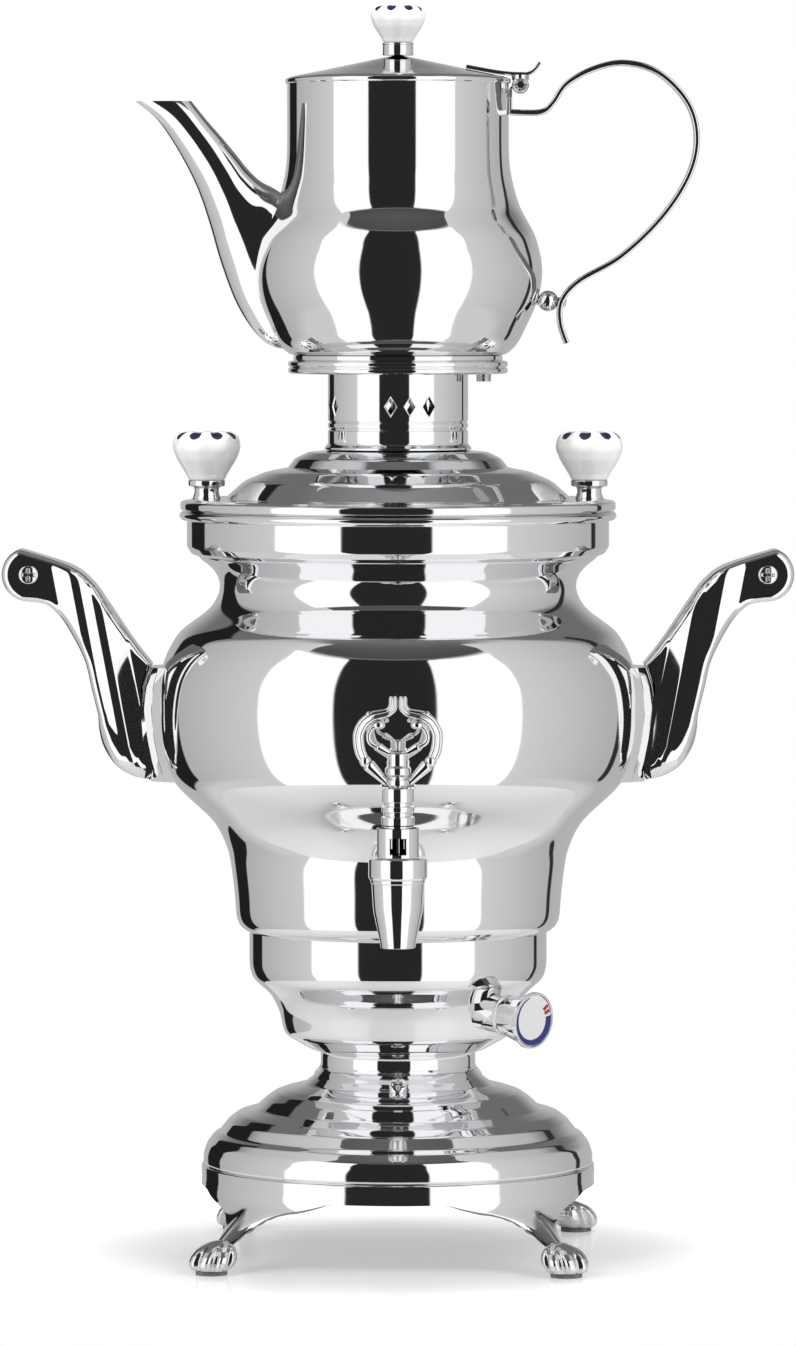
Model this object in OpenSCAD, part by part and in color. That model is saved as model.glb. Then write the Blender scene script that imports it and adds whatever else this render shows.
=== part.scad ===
// Electric samovar with a teapot on its crown. Millimetres, +Z up, front towards -Y.
// The origin is where the vertical axis meets the table. Everything is stacked upwards from the paws.

/* [Fits] */
// Radial play of a turning stem in its hole
turning_play = 0.05; // [0.02:0.01:0.09]
// Radial gap of a part that lifts off round its seat
lift_gap = 0.6; // [0.4:0.1:1]
// Radial gap round a bolt or another fixed stem
bolt_gap = 0.2; // [0.1:0.05:0.3]
// Gap between a fitting and the curved wall that it stands on
seat_gap = 0.05; // [0.02:0.01:0.1]

/* [Foot ring and paws] */
// Height of the foot ring's lower edge above the table, between the legs
ring_clear = 28.4; // [26:0.2:34]
// Outer radius of the foot ring
ring_r = 78.8; // [74:0.2:86]
// Height of the foot ring above that edge
ring_h = 8; // [7:0.5:12]
// Wall of the foot ring
ring_wall = 2; // [1.5:0.1:2.5]
// Width of the ledge inside the foot ring
ledge_w = 4.5; // [3:0.5:7]
// How far the ring's wall reaches down at a leg
bracket_drop = 8.4; // [6:0.2:10]
// Half the flat middle of each arch between two legs
arch_flat = 23; // [15:1:28]
// Width of a leg
leg_w = 7; // [6:0.5:9]
// Distance of a paw's pad outside the ring's outer face
paw_out = 23.8; // [21:0.2:26]
// Height of a paw
paw_h = 12.5; // [11.5:0.5:14]
// Width of a paw across its toes
paw_w = 20; // [18:0.5:23]
// Diameter of a sole pad
pad_d = 12.5; // [9:0.5:14]
// Thickness of a sole pad
pad_h = 1.6; // [1:0.2:2.4]
// Angle by which the legs are turned from the diagonals
leg_turn = -3; // [-8:1:8]
// Thickness of the bottom plate
bottom_t = 1.5; // [1:0.1:2.5]

/* [Base dome and neck] */
// Height of the base dome
dome_h = 38; // [34:0.5:44]
// Height of the dome's rim band
dome_band_h = 6.6; // [5:0.2:8]
// Radius of the dome's flat step
dome_step_r = 57; // [54:0.5:60]
// Sheet of the dome
dome_wall = 1.2; // [0.8:0.1:1.6]
// Outer radius of the neck ring
neck_r = 31; // [29:0.5:33]
// Height of the neck ring
neck_h = 7.6; // [6:0.2:10]
// Wall of the neck ring
neck_wall = 2; // [1.4:0.1:2.6]
// Diameter of the central tie rod
rod_d = 6; // [5:0.5:8]
// Diameter of the dome's screw heads
dome_screw_d = 7; // [5:0.5:8]

/* [Heater housing] */
// Height of the heater housing
housing_h = 48; // [46:0.5:54]
// Radius of the housing's upper band
housing_r = 59.6; // [58:0.2:61]
// Radius of the housing's narrow lower band
housing_low_r = 47.6; // [46:0.2:49]
// Sheet of the housing
housing_wall = 1.2; // [0.8:0.1:1.6]
// Thickness of the heater plate
plate_t = 4; // [3:0.5:5]
// Radius of the heater plate
plate_r = 46; // [42:0.5:50]
// Radius of the heating element's ring
element_r = 34; // [30:0.5:38]
// Diameter of the heating element's tube
element_d = 8; // [6:0.5:9]

/* [Tank] */
// How far the tank's foot stands out over the housing
foot_step = 5.2; // [4:0.1:7]
// Greatest radius of the tank
belly_r = 96.4; // [94:0.2:99]
// Height of the belly's widest place above the tank's lower edge
belly_h = 91; // [88:0.5:95]
// Radius of the waist under the collar
waist_r = 69.9; // [68:0.2:72]
// Height of the waist above the tank's lower edge
waist_h = 139; // [136:0.5:143]
// Radius of the tank's mouth, outside
mouth_r = 80.4; // [79.8:0.2:81.4]
// Height of the tank
tank_h = 166.6; // [164:0.2:172]
// Sheet of the tank
tank_wall = 1.2; // [0.8:0.1:1.4]
// Thickness of the tank's floor
floor_t = 1.5; // [1:0.1:2]

/* [Collar] */
// Outer radius of the collar band
collar_r = 84.4; // [83.4:0.2:86]
// Radius of the rolled bead on the collar and the lid
bead_r = 87.8; // [87:0.2:90]
// Height of the rolled bead
bead_h = 3.6; // [3:0.2:4]

/* [Lid] */
// Sheet of the lid
lid_wall = 1; // [0.8:0.1:1.4]
// Height of the lid's rim above the collar
lid_rim_h = 4.8; // [4.4:0.2:5.6]
// Radius where the lid's dome rises from its flat margin
lid_dome_r = 68; // [66:0.5:69]
// Height of the lid's shoulder above its margin
lid_shoulder_h = 9.2; // [8:0.2:11]
// Radius of the crease under the lid's upper ring
lid_crease_r = 43.6; // [42:0.2:46]
// Height of the lid's top above its margin
lid_top_h = 19.7; // [18.5:0.1:22]
// Radius of the steam opening in the lid
steam_r = 25; // [22:0.5:26]
// Depth of the lid's skirt inside the mouth
skirt_d = 9; // [6:0.5:12]

/* [Porcelain knobs] */
// Distance of a lid knob from the axis
knob_x = 76.5; // [75.5:0.1:77]
// Radius of a lid knob
knob_r = 13.7; // [12:0.1:15]
// Height of a lid knob
knob_h = 19.5; // [17:0.5:22]
// Height of the metal stem under a lid knob
stem_h = 7.5; // [6:0.5:9]
// Radius of the metal cap under a lid knob
ferrule_r = 7.3; // [6.5:0.1:8]
// Diameter of the stud inside a knob
stud_d = 3; // [2.5:0.5:4]

/* [Crown and pot ring] */
// Outer radius of the crown tube
crown_r = 28; // [27.5:0.1:29]
// Sheet of the crown tube
crown_wall = 1.2; // [0.8:0.1:1.4]
// Height of the crown tube
crown_h = 30.3; // [28:0.5:34]
// Width of a diamond vent
vent_w = 5.8; // [4:0.2:7]
// Height of a diamond vent
vent_h = 8.6; // [6:0.2:10]
// Height of the vents' centres above the lid
vent_z = 17.3; // [15:0.1:20]
// Outer radius of the pot ring
pot_ring_r = 43.9; // [43.2:0.1:46]
// Height of the pot ring
pot_ring_h = 5.2; // [4.6:0.2:6]

/* [Teapot] */
// Radius of the teapot's foot
pot_foot_r = 41.8; // [40.8:0.1:42.4]
// Height of the teapot's foot
pot_foot_h = 2; // [1.6:0.2:2.6]
// Greatest radius of the teapot
pot_belly_r = 57.9; // [56.5:0.1:59]
// Height of the teapot's widest place above its foot
pot_belly_h = 33; // [31:0.5:35]
// Radius of the teapot's neck
pot_neck_r = 44.3; // [43:0.1:45.5]
// Height of the teapot's body above its foot
pot_h = 108.2; // [105:0.2:112]
// Sheet of the teapot
pot_wall = 1.2; // [0.8:0.1:1.4]
// Rise of the teapot lid's cone
pot_lid_rise = 8.4; // [7:0.2:10]
// Height of the teapot lid's rim
pot_lid_rim = 3; // [2.4:0.2:3.6]
// Depth of the teapot lid's skirt
pot_skirt_d = 6; // [4:0.5:7]
// Radius of the teapot's knob
pot_knob_r = 11; // [10:0.1:12]
// Height of the teapot's knob
pot_knob_h = 15; // [13:0.5:17]

/* [Spout] */
// Reach of the spout's mouth from the teapot's axis
spout_reach = 104.8; // [100:0.2:110]
// Height of the spout's mouth under the teapot's rim
spout_below = 6.8; // [5:0.2:9]
// Half the spout's width where it meets the teapot
spout_base_w = 13; // [11:0.5:15]
// Half the spout's width at its mouth
spout_mouth_w = 5; // [4:0.2:6.5]
// Sheet of the spout
spout_wall = 1.2; // [0.9:0.1:1.5]

/* [Teapot handle] */
// Reach of the handle beyond the teapot's neck
strap_reach = 74.9; // [70:0.1:80]
// Width of the handle's strap
strap_w = 11; // [9:0.5:13]
// Thickness of the handle's strap
strap_t = 2; // [1.6:0.1:2.6]
// Diameter of the ball between strap and body
ball_d = 8.4; // [7.6:0.2:9]
// Height of the ball under the rim
ball_below = 86.4; // [85:0.2:88]
// Distance of the lid's hinge from the neck
hinge_out = 4.5; // [4.2:0.1:5.4]
// Radius of the hinge's knuckle
knuckle_r = 3.2; // [2.8:0.1:3.4]
// Diameter of the hinge pin
pin_d = 2.4; // [2:0.2:3]

/* [Side handles] */
// Reach of a horn handle beyond the belly
horn_reach = 61.8; // [56:0.2:68]
// Rise of a horn handle above the belly's widest place
horn_rise = 62.8; // [58:0.2:68]
// Radius of a horn's round end
horn_end_r = 10.8; // [9.5:0.1:12]
// Thickness of a horn, front to back
horn_t = 29; // [24:0.5:32]
// Chamfer along a horn's edges
horn_edge = 2.5; // [1.5:0.1:3]
// Diameter of the screw heads in the horns' ends
horn_screw_d = 7.6; // [6:0.2:9]
// Thickness of the pad between horn and tank
pad_t = 6; // [5:0.2:8]
// Diameter of the bolts that hold a horn to the tank
horn_bolt_d = 5; // [4:0.5:6]

/* [Tap] */
// Height of the tap's inlet above the tank's lower edge
tap_h = 34.3; // [32:0.1:38]
// Distance of the tap's axis from the tank's wall
tap_reach = 46.6; // [45:0.2:54]
// Radius of the inlet arm
arm_r = 5.5; // [5:0.1:6.5]
// Radius of the tap's flange
tap_flange_r = 11.4; // [10.6:0.1:12.5]
// Radius of the tap's lower housing
tap_low_r = 8.25; // [7.8:0.05:9]
// Height of the tap's lower housing
tap_low_h = 11; // [10:0.2:13]
// Radius of the tap's bonnet
bonnet_r = 6.4; // [6:0.1:7.2]
// Height of the tap's bonnet
bonnet_h = 16; // [14:0.2:18]
// Radius of the turning rod
rod_r = 2.2; // [1.8:0.1:2.6]
// Length of the nozzle under the flange
nozzle_h = 26.5; // [22:0.5:30]
// Radius of the nozzle's mouth, outside
nozzle_r = 6.8; // [6.4:0.1:7.6]
// Radius of the nozzle's bore
nozzle_bore = 5.2; // [4.6:0.1:5.6]
// Height of the key above its hub's foot
key_h = 35.4; // [33:0.2:38]
// Width of the key
key_w = 34.4; // [32:0.2:37]
// Thickness of the key's bars
key_bar = 3.6; // [3.2:0.1:4.2]

/* [Thermostat and cord gland] */
// Angle of the thermostat knob to the right of the front
knob_angle = 46; // [40:1:52]
// Height of the thermostat's axis on the housing above its floor
dial_h = 18.5; // [17:0.1:20]
// Angle by which the thermostat's axis dips outwards
dial_dip = 4; // [0:0.5:6]
// Radius of the knob's face
dial_r = 10.8; // [9.8:0.1:11.6]
// Length of the knob
dial_len = 16; // [14:0.5:20]
// Distance of the knob's back from the samovar's axis
dial_back = 58.8; // [58.2:0.1:62]
// Radius of the thermostat's shaft
shaft_r = 3; // [2.5:0.1:3.5]
// Height of the cord gland above the housing's floor
gland_h = 39; // [37:0.5:40]
// Radius of the cord gland's thread
gland_r = 5.5; // [4.5:0.1:6.5]
// Radius of the hole for the cord
cord_hole_r = 3.4; // [3:0.1:4]

/* [Hidden] */
$fn = 72;
ARC_STEP = 12;    // degrees between two points of a rounded corner
EPS = 0.01;       // overlap of a cutter past the face that it cuts
TINY = 0.3;       // least clearance between things that move past each other

// Heights of the stack, upwards from the table
z_ring = ring_clear;
z_dome = z_ring + ring_h;
z_neck = z_dome + dome_h;
z_housing = z_neck + neck_h;
z_tank = z_housing + housing_h;
z_floor = z_tank;
z_mouth = z_tank + tank_h;
z_collar_top = z_mouth + 1.6;
z_margin = z_collar_top + lid_rim_h;
z_lid_top = z_margin + lid_top_h;
z_pot_ring = z_lid_top + crown_h;
z_pot = z_pot_ring + pot_ring_h;
z_pot_body = z_pot + pot_foot_h;
z_rim = z_pot_body + pot_h;
z_pot_lid = z_rim + pot_lid_rim + pot_lid_rise;

// ---- Outlines ----

function flat(p) = [p[0], p[1]];
function unit(v) = v / norm(v);
function reversed(l) = [for (i = [len(l) - 1 : -1 : 0]) l[i]];

// Signed angle from direction u to direction v
function turn(u, v) = atan2(u[0] * v[1] - u[1] * v[0], u[0] * v[0] + u[1] * v[1]);

// The corner p between a and b as an arc of radius p[2], or of what its two sides have room for
function corner(a, p, b) =
    let (
        u = unit(flat(a) - flat(p)),
        v = unit(flat(b) - flat(p)),
        half = abs(turn(u, v)) / 2,
        room = 0.49 * min(norm(flat(a) - flat(p)), norm(flat(b) - flat(p))),
        cut = min(p[2] / tan(half), room),
        centre = flat(p) + unit(u + v) * cut / cos(half),
        from = flat(p) + u * cut - centre,
        sweep = turn(from, flat(p) + v * cut - centre),
        n = max(2, ceil(abs(sweep) / ARC_STEP))
    )
    [for (i = [0 : n]) let (s = sweep * i / n)
        centre + [from[0] * cos(s) - from[1] * sin(s), from[0] * sin(s) + from[1] * cos(s)]];

// An open path whose corners [x, y, radius] are rounded; a corner without a radius stays sharp
function rounded(path) =
    [for (i = [0 : len(path) - 1]) each
        i == 0 || i == len(path) - 1 || len(path[i]) < 3
            ? [flat(path[i])] : corner(path[i - 1], path[i], path[i + 1])];

// The same for a closed outline
function rounded_loop(path) =
    let (n = len(path))
    [for (i = [0 : n - 1]) each
        len(path[i]) < 3 ? [flat(path[i])] : corner(path[(i + n - 1) % n], path[i], path[(i + 1) % n])];

// An open path moved by d to its left, which is inwards for a wall drawn from the bottom up
function moved(path, d) =
    let (last = len(path) - 1)
    [for (i = [0 : last])
        let (
            u = unit(i == 0 ? path[1] - path[0] : path[i] - path[i - 1]),
            v = unit(i == last ? path[last] - path[last - 1] : path[i + 1] - path[i]),
            m = unit(u + v)
        )
        path[i] + d / max(m * u, 0.5) * [-m[1], m[0]]];

// A smooth curve through the knots k, by Catmull and Rom, with n steps between two knots
function smooth(k, n) =
    let (last = len(k) - 1)
    [for (i = [0 : last - 1], j = [0 : n - 1])
        let (
            a = k[max(i - 1, 0)], b = k[i], c = k[i + 1], d = k[min(i + 2, last)],
            t = j / n
        )
        0.5 * (2 * b + (c - a) * t + (2 * a - 5 * b + 4 * c - d) * t * t
            + (3 * b - a - 3 * c + d) * t * t * t),
     k[last]];

// Radius of a wall's path at height z
function radius_at(path, z) = lookup(z, [for (p = path) [p[1], p[0]]]);

module spun(points) rotate_extrude() polygon(points);

// A step of length d to the left of an end that points along v: level at a steep end, upright at a flat one
function end_step(v, d) =
    let (u = unit(v)) abs(u[1]) > abs(u[0]) ? [-d / u[1], 0] : [0, d / u[0]];

// A path moved like that, with its two ends cut level or upright
function lining(path, d) =
    let (last = len(path) - 1, middle = moved(path, d))
    [path[0] + end_step(path[1] - path[0], d), for (i = [1 : last - 1]) middle[i],
     path[last] + end_step(path[last] - path[last - 1], d)];

// A sheet of thickness t inside the path
module spun_wall(path, t) spun(concat(path, reversed(lining(path, t))));

// The solid inside the path, grown by d
module spun_core(path, d) {
    skin = lining(path, -d);
    rotate_extrude($fn = 240) polygon(concat([[0, skin[0][1]]], skin, [[0, skin[len(skin) - 1][1]]]));
}

module tube(r, bore, h) {
    difference() {
        cylinder(r = r, h = h);
        translate([0, 0, -EPS]) cylinder(r = bore, h = h + 2 * EPS);
    }
}

// A prism of an outline in the X-Z plane, from y = from to y = from + depth
module upright(points, from, depth)
    translate([0, from + depth, 0]) rotate([90, 0, 0]) linear_extrude(depth) polygon(points);

module both_sides() {
    children();
    mirror([1, 0, 0]) children();
}

// A round screw head with a cross recess, standing on z = 0
module cross_head(d, h, slot) {
    difference() {
        union() {
            cylinder(d = d, h = h / 2);
            translate([0, 0, h / 2]) cylinder(d1 = d, d2 = d * 0.7, h = h / 2);
        }
        for (a = [0, 90])
            rotate([0, 0, a]) translate([-d * 0.3, -slot / 2, h * 0.4]) cube([d * 0.6, slot, h]);
    }
}

// ---- Foot ring, paws and base ----

module foot_ring() color("silver") {
    low = z_ring - bracket_drop;
    inner = ring_r - ring_wall;
    ledge_z = z_ring + bottom_t + 0.8;
    leg_x = ring_r * cos(45) - leg_w / 2 - 2;
    arch = rounded([
        [-leg_x, low - 1], [-leg_x + 3, z_ring - 6, 3], [-arch_flat - 14, z_ring - 2.4, 4],
        [-arch_flat - 4, z_ring - 1.6, 4], [-arch_flat + 3, z_ring, 6], [arch_flat - 3, z_ring, 6],
        [arch_flat + 4, z_ring - 1.6, 4], [arch_flat + 14, z_ring - 2.4, 4],
        [leg_x - 3, z_ring - 6, 3], [leg_x, low - 1],
    ]);
    difference() {
        spun([
            [inner, low], [ring_r, low], [ring_r, z_dome - 0.6], [ring_r - 0.6, z_dome],
            [inner, z_dome], [inner, ledge_z + 2], [inner - ledge_w, ledge_z + 2],
            [inner - ledge_w, ledge_z], [inner, ledge_z],
        ]);
        for (i = [0 : 3])
            rotate([0, 0, leg_turn + 90 * i]) upright(arch, -ring_r - 1, ring_r / 2);
    }
}

// A toe lying along +X, thicker at its root
module toe(length, root, tip)
    rotate([0, 90, 0]) spun([
        [0, -root * 0.4], [root, 0], [tip + 0.5, length - tip], [tip * 0.5, length], [0, length],
    ]);

// One leg with its paw, reaching out along +X
module paw_leg() {
    low = z_ring - bracket_drop;
    inner = ring_r - ring_wall;
    heel = ring_r + paw_out - 6;
    toe_r = paw_w / 7;
    seat = sqrt(inner * inner - leg_w * leg_w / 4) - seat_gap;
    leg = rounded([
        [seat - 3.5, low + 8], [seat, low + 8], [seat, low - seat_gap], [ring_r + 0.3, low - seat_gap],
        [ring_r + 3, paw_h + 2, 4], [heel, paw_h, 3], [heel + 3, pad_h + 0.01],
        [heel - 5, pad_h + 0.01, 2], [ring_r - 2, low - 6, 6], [seat - 3.5, low, 3],
    ]);
    difference() {
        union() {
            upright(leg, -leg_w / 2, leg_w);
            for (i = [-1.5 : 1.5])
                translate([heel - 1 - abs(i), i * paw_w * 0.17, paw_h - 2 * toe_r])
                    rotate([0, 14, i * 17]) toe(paw_w * 0.56, toe_r * 1.7, toe_r);
        }
        translate([0, -paw_w, -paw_h]) cube([2 * ring_r, 2 * paw_w, paw_h + pad_h]);
    }
}

module at_legs() {
    for (i = [0 : 3]) rotate([0, 0, 45 + leg_turn + 90 * i]) children();
}

module paw_feet() color("silver") at_legs() paw_leg();

module foot_pads() color("dimgray")
    at_legs() translate([ring_r + paw_out - 4, 0, 0]) cylinder(d = pad_d, h = pad_h);

module bottom_plate() color("gray") {
    translate([0, 0, z_ring + 0.8]) tube(ring_r - ring_wall - 0.4, rod_d / 2 + bolt_gap, bottom_t);
}

dome_rim_r = ring_r - 0.4;
dome_path = rounded([
    [dome_rim_r, z_dome],
    [dome_rim_r - 0.8, z_dome + dome_band_h, 5],
    [dome_step_r + 15.6, z_dome + 12.4, 2.5],
    [dome_step_r + 8.4, z_dome + 19.6, 2],
    [dome_step_r, z_dome + 22.3, 1.6],
    [dome_step_r - 7.6, z_dome + 28.6, 6],
    [neck_r + 7.4, z_dome + dome_h - 6.2, 4],
    [neck_r + 0.6, z_dome + dome_h - 3, 5],
    [neck_r, z_dome + dome_h],
]);

module base_dome() color("silver") difference() {
    spun_wall(dome_path, dome_wall);
    at_dome_screws() translate([0, 0, -6]) cylinder(r = screw_stem_r + bolt_gap, h = 12);
}

// Where the dome's screws stand, and how far their heads lean outwards
screw_z = z_dome + dome_h - 3.9;
screw_lean = 50;
screw_rise = 1.7;   // the heads bridge the dome's hollow throat
screw_stem_r = 1.5;
module at_dome_screws() {
    for (a = [-90, 30, 150])
        rotate([0, 0, a]) translate([radius_at(dome_path, screw_z), 0, screw_z])
            rotate([0, screw_lean, 0]) children();
}

module dome_screws() color("lightgray") at_dome_screws() {
    translate([0, 0, screw_rise]) cross_head(dome_screw_d, 1.8, 1);
    translate([0, 0, -4]) cylinder(r = screw_stem_r, h = 4 + screw_rise + 0.4);
}

module neck_ring() color("silver") {
    r = neck_r;
    path = rounded([[r, z_neck], [r + 0.5, z_neck + 1, 0.5], [r, z_neck + 2, 0.5],
        [r, z_neck + neck_h - 1], [r + 0.6, z_housing]]);
    spun(concat(path, [[r - neck_wall, z_housing], [r - neck_wall, z_neck]]));
}

rod_low = z_ring - 7;
module tie_rod() color("gray")
    translate([0, 0, rod_low]) cylinder(d = rod_d, h = z_floor - plate_t - rod_low - EPS);

module tie_nut() color("gray") {
    translate([0, 0, z_ring - 0.8]) tube(rod_d, rod_d / 2 + seat_gap, 1.6 - EPS);
    translate([0, 0, z_ring - 5.8 - EPS]) difference() {
        cylinder(d = rod_d * 1.9, h = 5, $fn = 6);
        translate([0, 0, -1]) cylinder(r = rod_d / 2 + seat_gap, h = 7, $fn = 48);
    }
}

// ---- Heater housing and what it holds ----

housing_top = z_tank;
housing_path = rounded([
    [rod_d / 2 + bolt_gap, z_housing],
    [neck_r + 3, z_housing],
    [housing_low_r - 2, z_housing + 6.6, 4],
    [housing_low_r, z_housing + 16, 12],
    [housing_low_r + 3.2, z_housing + 22.4, 10],
    [housing_r - 1.2, z_housing + 29.2, 4],
    [housing_r, z_housing + 34, 4],
    [housing_r, housing_top],
]);

// Things on the thermostat's axis, with +Z outwards and z = 0 on the samovar's axis
dial_z = z_housing + dial_h;
module on_dial_axis() {
    rotate([0, 0, knob_angle - 90]) translate([housing_low_r, 0, dial_z])
        rotate([0, 90 + dial_dip, 0]) translate([0, 0, -housing_low_r]) children();
}

module on_gland_axis() {
    translate([0, 0, z_housing + gland_h]) rotate([-90, 0, 0]) children();
}

bezel_r = 6.4;
module heater_housing() color("silver") difference() {
    spun_wall(housing_path, housing_wall);
    on_dial_axis() translate([0, 0, housing_low_r - 8]) cylinder(r = bezel_r - 1.4 + bolt_gap, h = 18);
    on_gland_axis() translate([0, 0, housing_r - 4]) cylinder(r = gland_r + bolt_gap, h = 8);
}

module heater_plate() color("lightgray") translate([0, 0, z_floor - plate_t])
    cylinder(r = plate_r, h = plate_t - EPS);

element_gap = 50;  // degrees left open between the element's two ends
element_leg = 9;
module heating_element() color("dimgray") {
    z = z_floor - plate_t - element_d / 2 - EPS;
    translate([0, 0, z]) rotate([0, 0, 90 + element_gap / 2]) {
        rotate_extrude(angle = 360 - element_gap) translate([element_r, 0]) circle(d = element_d);
        for (a = [0, 360 - element_gap])
            rotate([0, 0, a]) translate([element_r, 0, -element_leg])
                cylinder(d = element_d * 0.8, h = element_leg);
    }
}

module thermal_cutout() color("tan") translate([-14, -8, z_floor - plate_t - 6 - EPS]) {
    cylinder(r = 8, h = 6);
    for (x = [-4, 4]) translate([x - 0.4, -3, -6]) cube([0.8, 6, 6]);
}

module sensor_bulb() color("peru")
    translate([12, -22, z_floor - plate_t - 3 - EPS]) rotate([-90, 0, 0]) cylinder(r = 3, h = 40);

module terminal_block() color("white") translate([-30, -6, z_housing + housing_wall + EPS]) {
    difference() {
        cube([16, 20, 9]);
        for (y = [4, 10, 16]) translate([8, y, 2]) cylinder(r = 1.8, h = 8);
    }
}

thermostat_far = 38;  // outer end of the thermostat's body on its axis
module thermostat_body() color("tan") on_dial_axis() {
    difference() {
        translate([-9, -11, 18]) cube([18, 22, thermostat_far - 18]);
        translate([0, 0, 24]) cylinder(r = shaft_r + turning_play, h = thermostat_far);
    }
}

collar_back = housing_low_r - 6;
collar_front = dial_back - TINY;
module thermostat_collar() color("silver") {
    bore = shaft_r + turning_play;
    difference() {
        on_dial_axis() translate([0, 0, collar_back]) tube(bezel_r + 1, bore, collar_front - collar_back);
        spun_core(housing_path, seat_gap);
    }
    on_dial_axis() translate([0, 0, thermostat_far]) tube(bezel_r - 1.4, bore, 13);
}

module thermostat_shaft() color("gray") on_dial_axis()
    translate([0, 0, 26]) cylinder(r = shaft_r, h = dial_back - 26 + 6);

module thermostat_knob() color("silver") on_dial_axis() translate([0, 0, dial_back]) difference() {
    union() {
        cylinder(r = bezel_r + 1.8, h = 1.6);
        cylinder(r1 = bezel_r, r2 = dial_r - 0.8, h = dial_len - 3);
        translate([0, 0, dial_len - 3]) cylinder(r = dial_r, h = 3);
    }
    translate([0, 0, -EPS]) cylinder(r = shaft_r + seat_gap, h = 6 + 2 * EPS);
    translate([0, 0, dial_len - 1.2]) cylinder(r = dial_r - 1.2, h = 2);
}

module dial_insert() color("whitesmoke") on_dial_axis()
    translate([0, 0, dial_back + dial_len - 1.2 + EPS]) cylinder(r = dial_r - 1.3, h = 0.8);

module cord_gland() color("black") difference() {
    on_gland_axis() {
        translate([0, 0, housing_r - 12]) cylinder(r = gland_r, h = 14);
        translate([0, 0, housing_r + 0.4]) cylinder(r1 = gland_r + 2.2, r2 = gland_r + 1, h = 4);
    }
    on_gland_axis() translate([0, 0, housing_r - 13]) cylinder(r = cord_hole_r, h = 20);
}

module gland_nut() color("black") on_gland_axis() translate([0, 0, housing_r - 7]) difference() {
    cylinder(r = gland_r + 2.6, h = 4, $fn = 6);
    translate([0, 0, -1]) cylinder(r = gland_r + seat_gap, h = 6, $fn = 48);
}

// ---- Tank, collar and side handles ----

tank_foot_r = housing_r + foot_step;
tank_path = rounded([
    [housing_r + 0.6, z_tank],
    [tank_foot_r, z_tank + 2.6, 3],
    [tank_foot_r + 0.8, z_tank + 16, 60],
    [tank_foot_r + 3.7, z_tank + 38, 24],
    [belly_r - 4, z_tank + belly_h - 29, 12],
    [belly_r, z_tank + belly_h, 90],
    [belly_r - 2.4, z_tank + belly_h + 24, 22],
    [waist_r + 3.1, z_tank + waist_h - 9, 9],
    [waist_r, z_tank + waist_h, 12],
    [mouth_r, z_mouth - 15, 1.5],
    [mouth_r, z_mouth],
]);

tap_z = z_tank + tap_h;
horn_z = z_tank + belly_h;
bolt_zs = [horn_z - 19, horn_z + 5];

module on_front(z) translate([0, 0, z]) rotate([90, 0, 0]) children();

module tank_shell() color("silver") difference() {
    spun_wall(tank_path, tank_wall);
    on_front(tap_z) cylinder(r = arm_r + bolt_gap, h = belly_r);
    both_sides() for (z = bolt_zs)
        translate([belly_r - 12, 0, z]) rotate([0, 90, 0]) cylinder(d = horn_bolt_d + 2 * bolt_gap, h = 14);
}

module tank_floor() color("silver") translate([0, 0, z_floor])
    cylinder(r = housing_r - 0.2, h = floor_t);

module collar_band() color("silver") spun(rounded_loop([
    [mouth_r + seat_gap, z_mouth - 15.1],
    [radius_at(tank_path, z_mouth - 17.9) + 2 * seat_gap, z_mouth - 17.9],
    [collar_r - 1.6, z_mouth - 15.6, 1.5],
    [collar_r, z_mouth - 12.6, 2],
    [collar_r, z_collar_top - bead_h],
    [bead_r, z_collar_top - bead_h, 1.7],
    [bead_r, z_collar_top, 1.7],
    [mouth_r + seat_gap, z_collar_top],
]));

// Outline of the right horn, outwards and upwards from the belly's widest place.
// The knots are shares of the horn's reach and rise.
horn_end = [belly_r + horn_reach - horn_end_r, horn_z + horn_rise - horn_end_r];
function horn(p) = [belly_r + p[0] * horn_reach, horn_z + p[1] * horn_rise];
horn_top = [for (p = [[0.03, 0.255], [0.13, 0.38], [0.225, 0.515], [0.325, 0.66], [0.42, 0.785],
    [0.56, 0.885]]) horn(p)];
horn_under = [for (p = [[0.715, 0.64], [0.635, 0.575], [0.565, 0.48], [0.465, 0.29], [0.42, 0.11],
    [0.375, -0.07]]) horn(p)];
horn_roll = [for (p = [[0.375, -0.14], [0.35, -0.26], [0.27, -0.385], [0.16, -0.455],
    [0.03, -0.48]]) horn(p)];
horn_round = [for (a = [70 : -14 : -90]) horn_end + horn_end_r * [cos(a), sin(a)]];
pad_outer = [belly_r + pad_t, horn_z - 2];
horn_outline = concat(
    smooth(concat(horn_top, [horn_round[0]]), 3),
    [for (i = [1 : len(horn_round) - 2]) horn_round[i]],
    smooth(concat([horn_round[len(horn_round) - 1]], horn_under), 3),
    smooth(horn_roll, 2),
    [[belly_r + pad_t - 4, horn_z - 0.41 * horn_rise], pad_outer]
);

// Half of a horn, from its middle plane to its face, with a chamfered edge
module horn_half() difference() {
    union() {
        upright(horn_outline, -horn_t / 2 + horn_edge, horn_t / 2 - horn_edge - seat_gap);
        translate([0, -horn_t / 2 + horn_edge, 0]) rotate([90, 0, 0])
            linear_extrude(horn_edge / 2) offset(delta = -horn_edge / 3) polygon(horn_outline);
        translate([0, -horn_t / 2 + horn_edge / 2, 0]) rotate([90, 0, 0])
            linear_extrude(horn_edge / 2) offset(delta = -horn_edge) polygon(horn_outline);
    }
    translate([horn_end[0], -horn_t / 2 - 1, horn_end[1]]) rotate([-90, 0, 0]) {
        cylinder(d = horn_screw_d + 2 * bolt_gap, h = 2.4);
        cylinder(d = 4 + 2 * bolt_gap, h = horn_t);
    }
    bolt_holes(horn_bolt_d / 2 + bolt_gap, pad_t + bolt_grip + 3);
}

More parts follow.
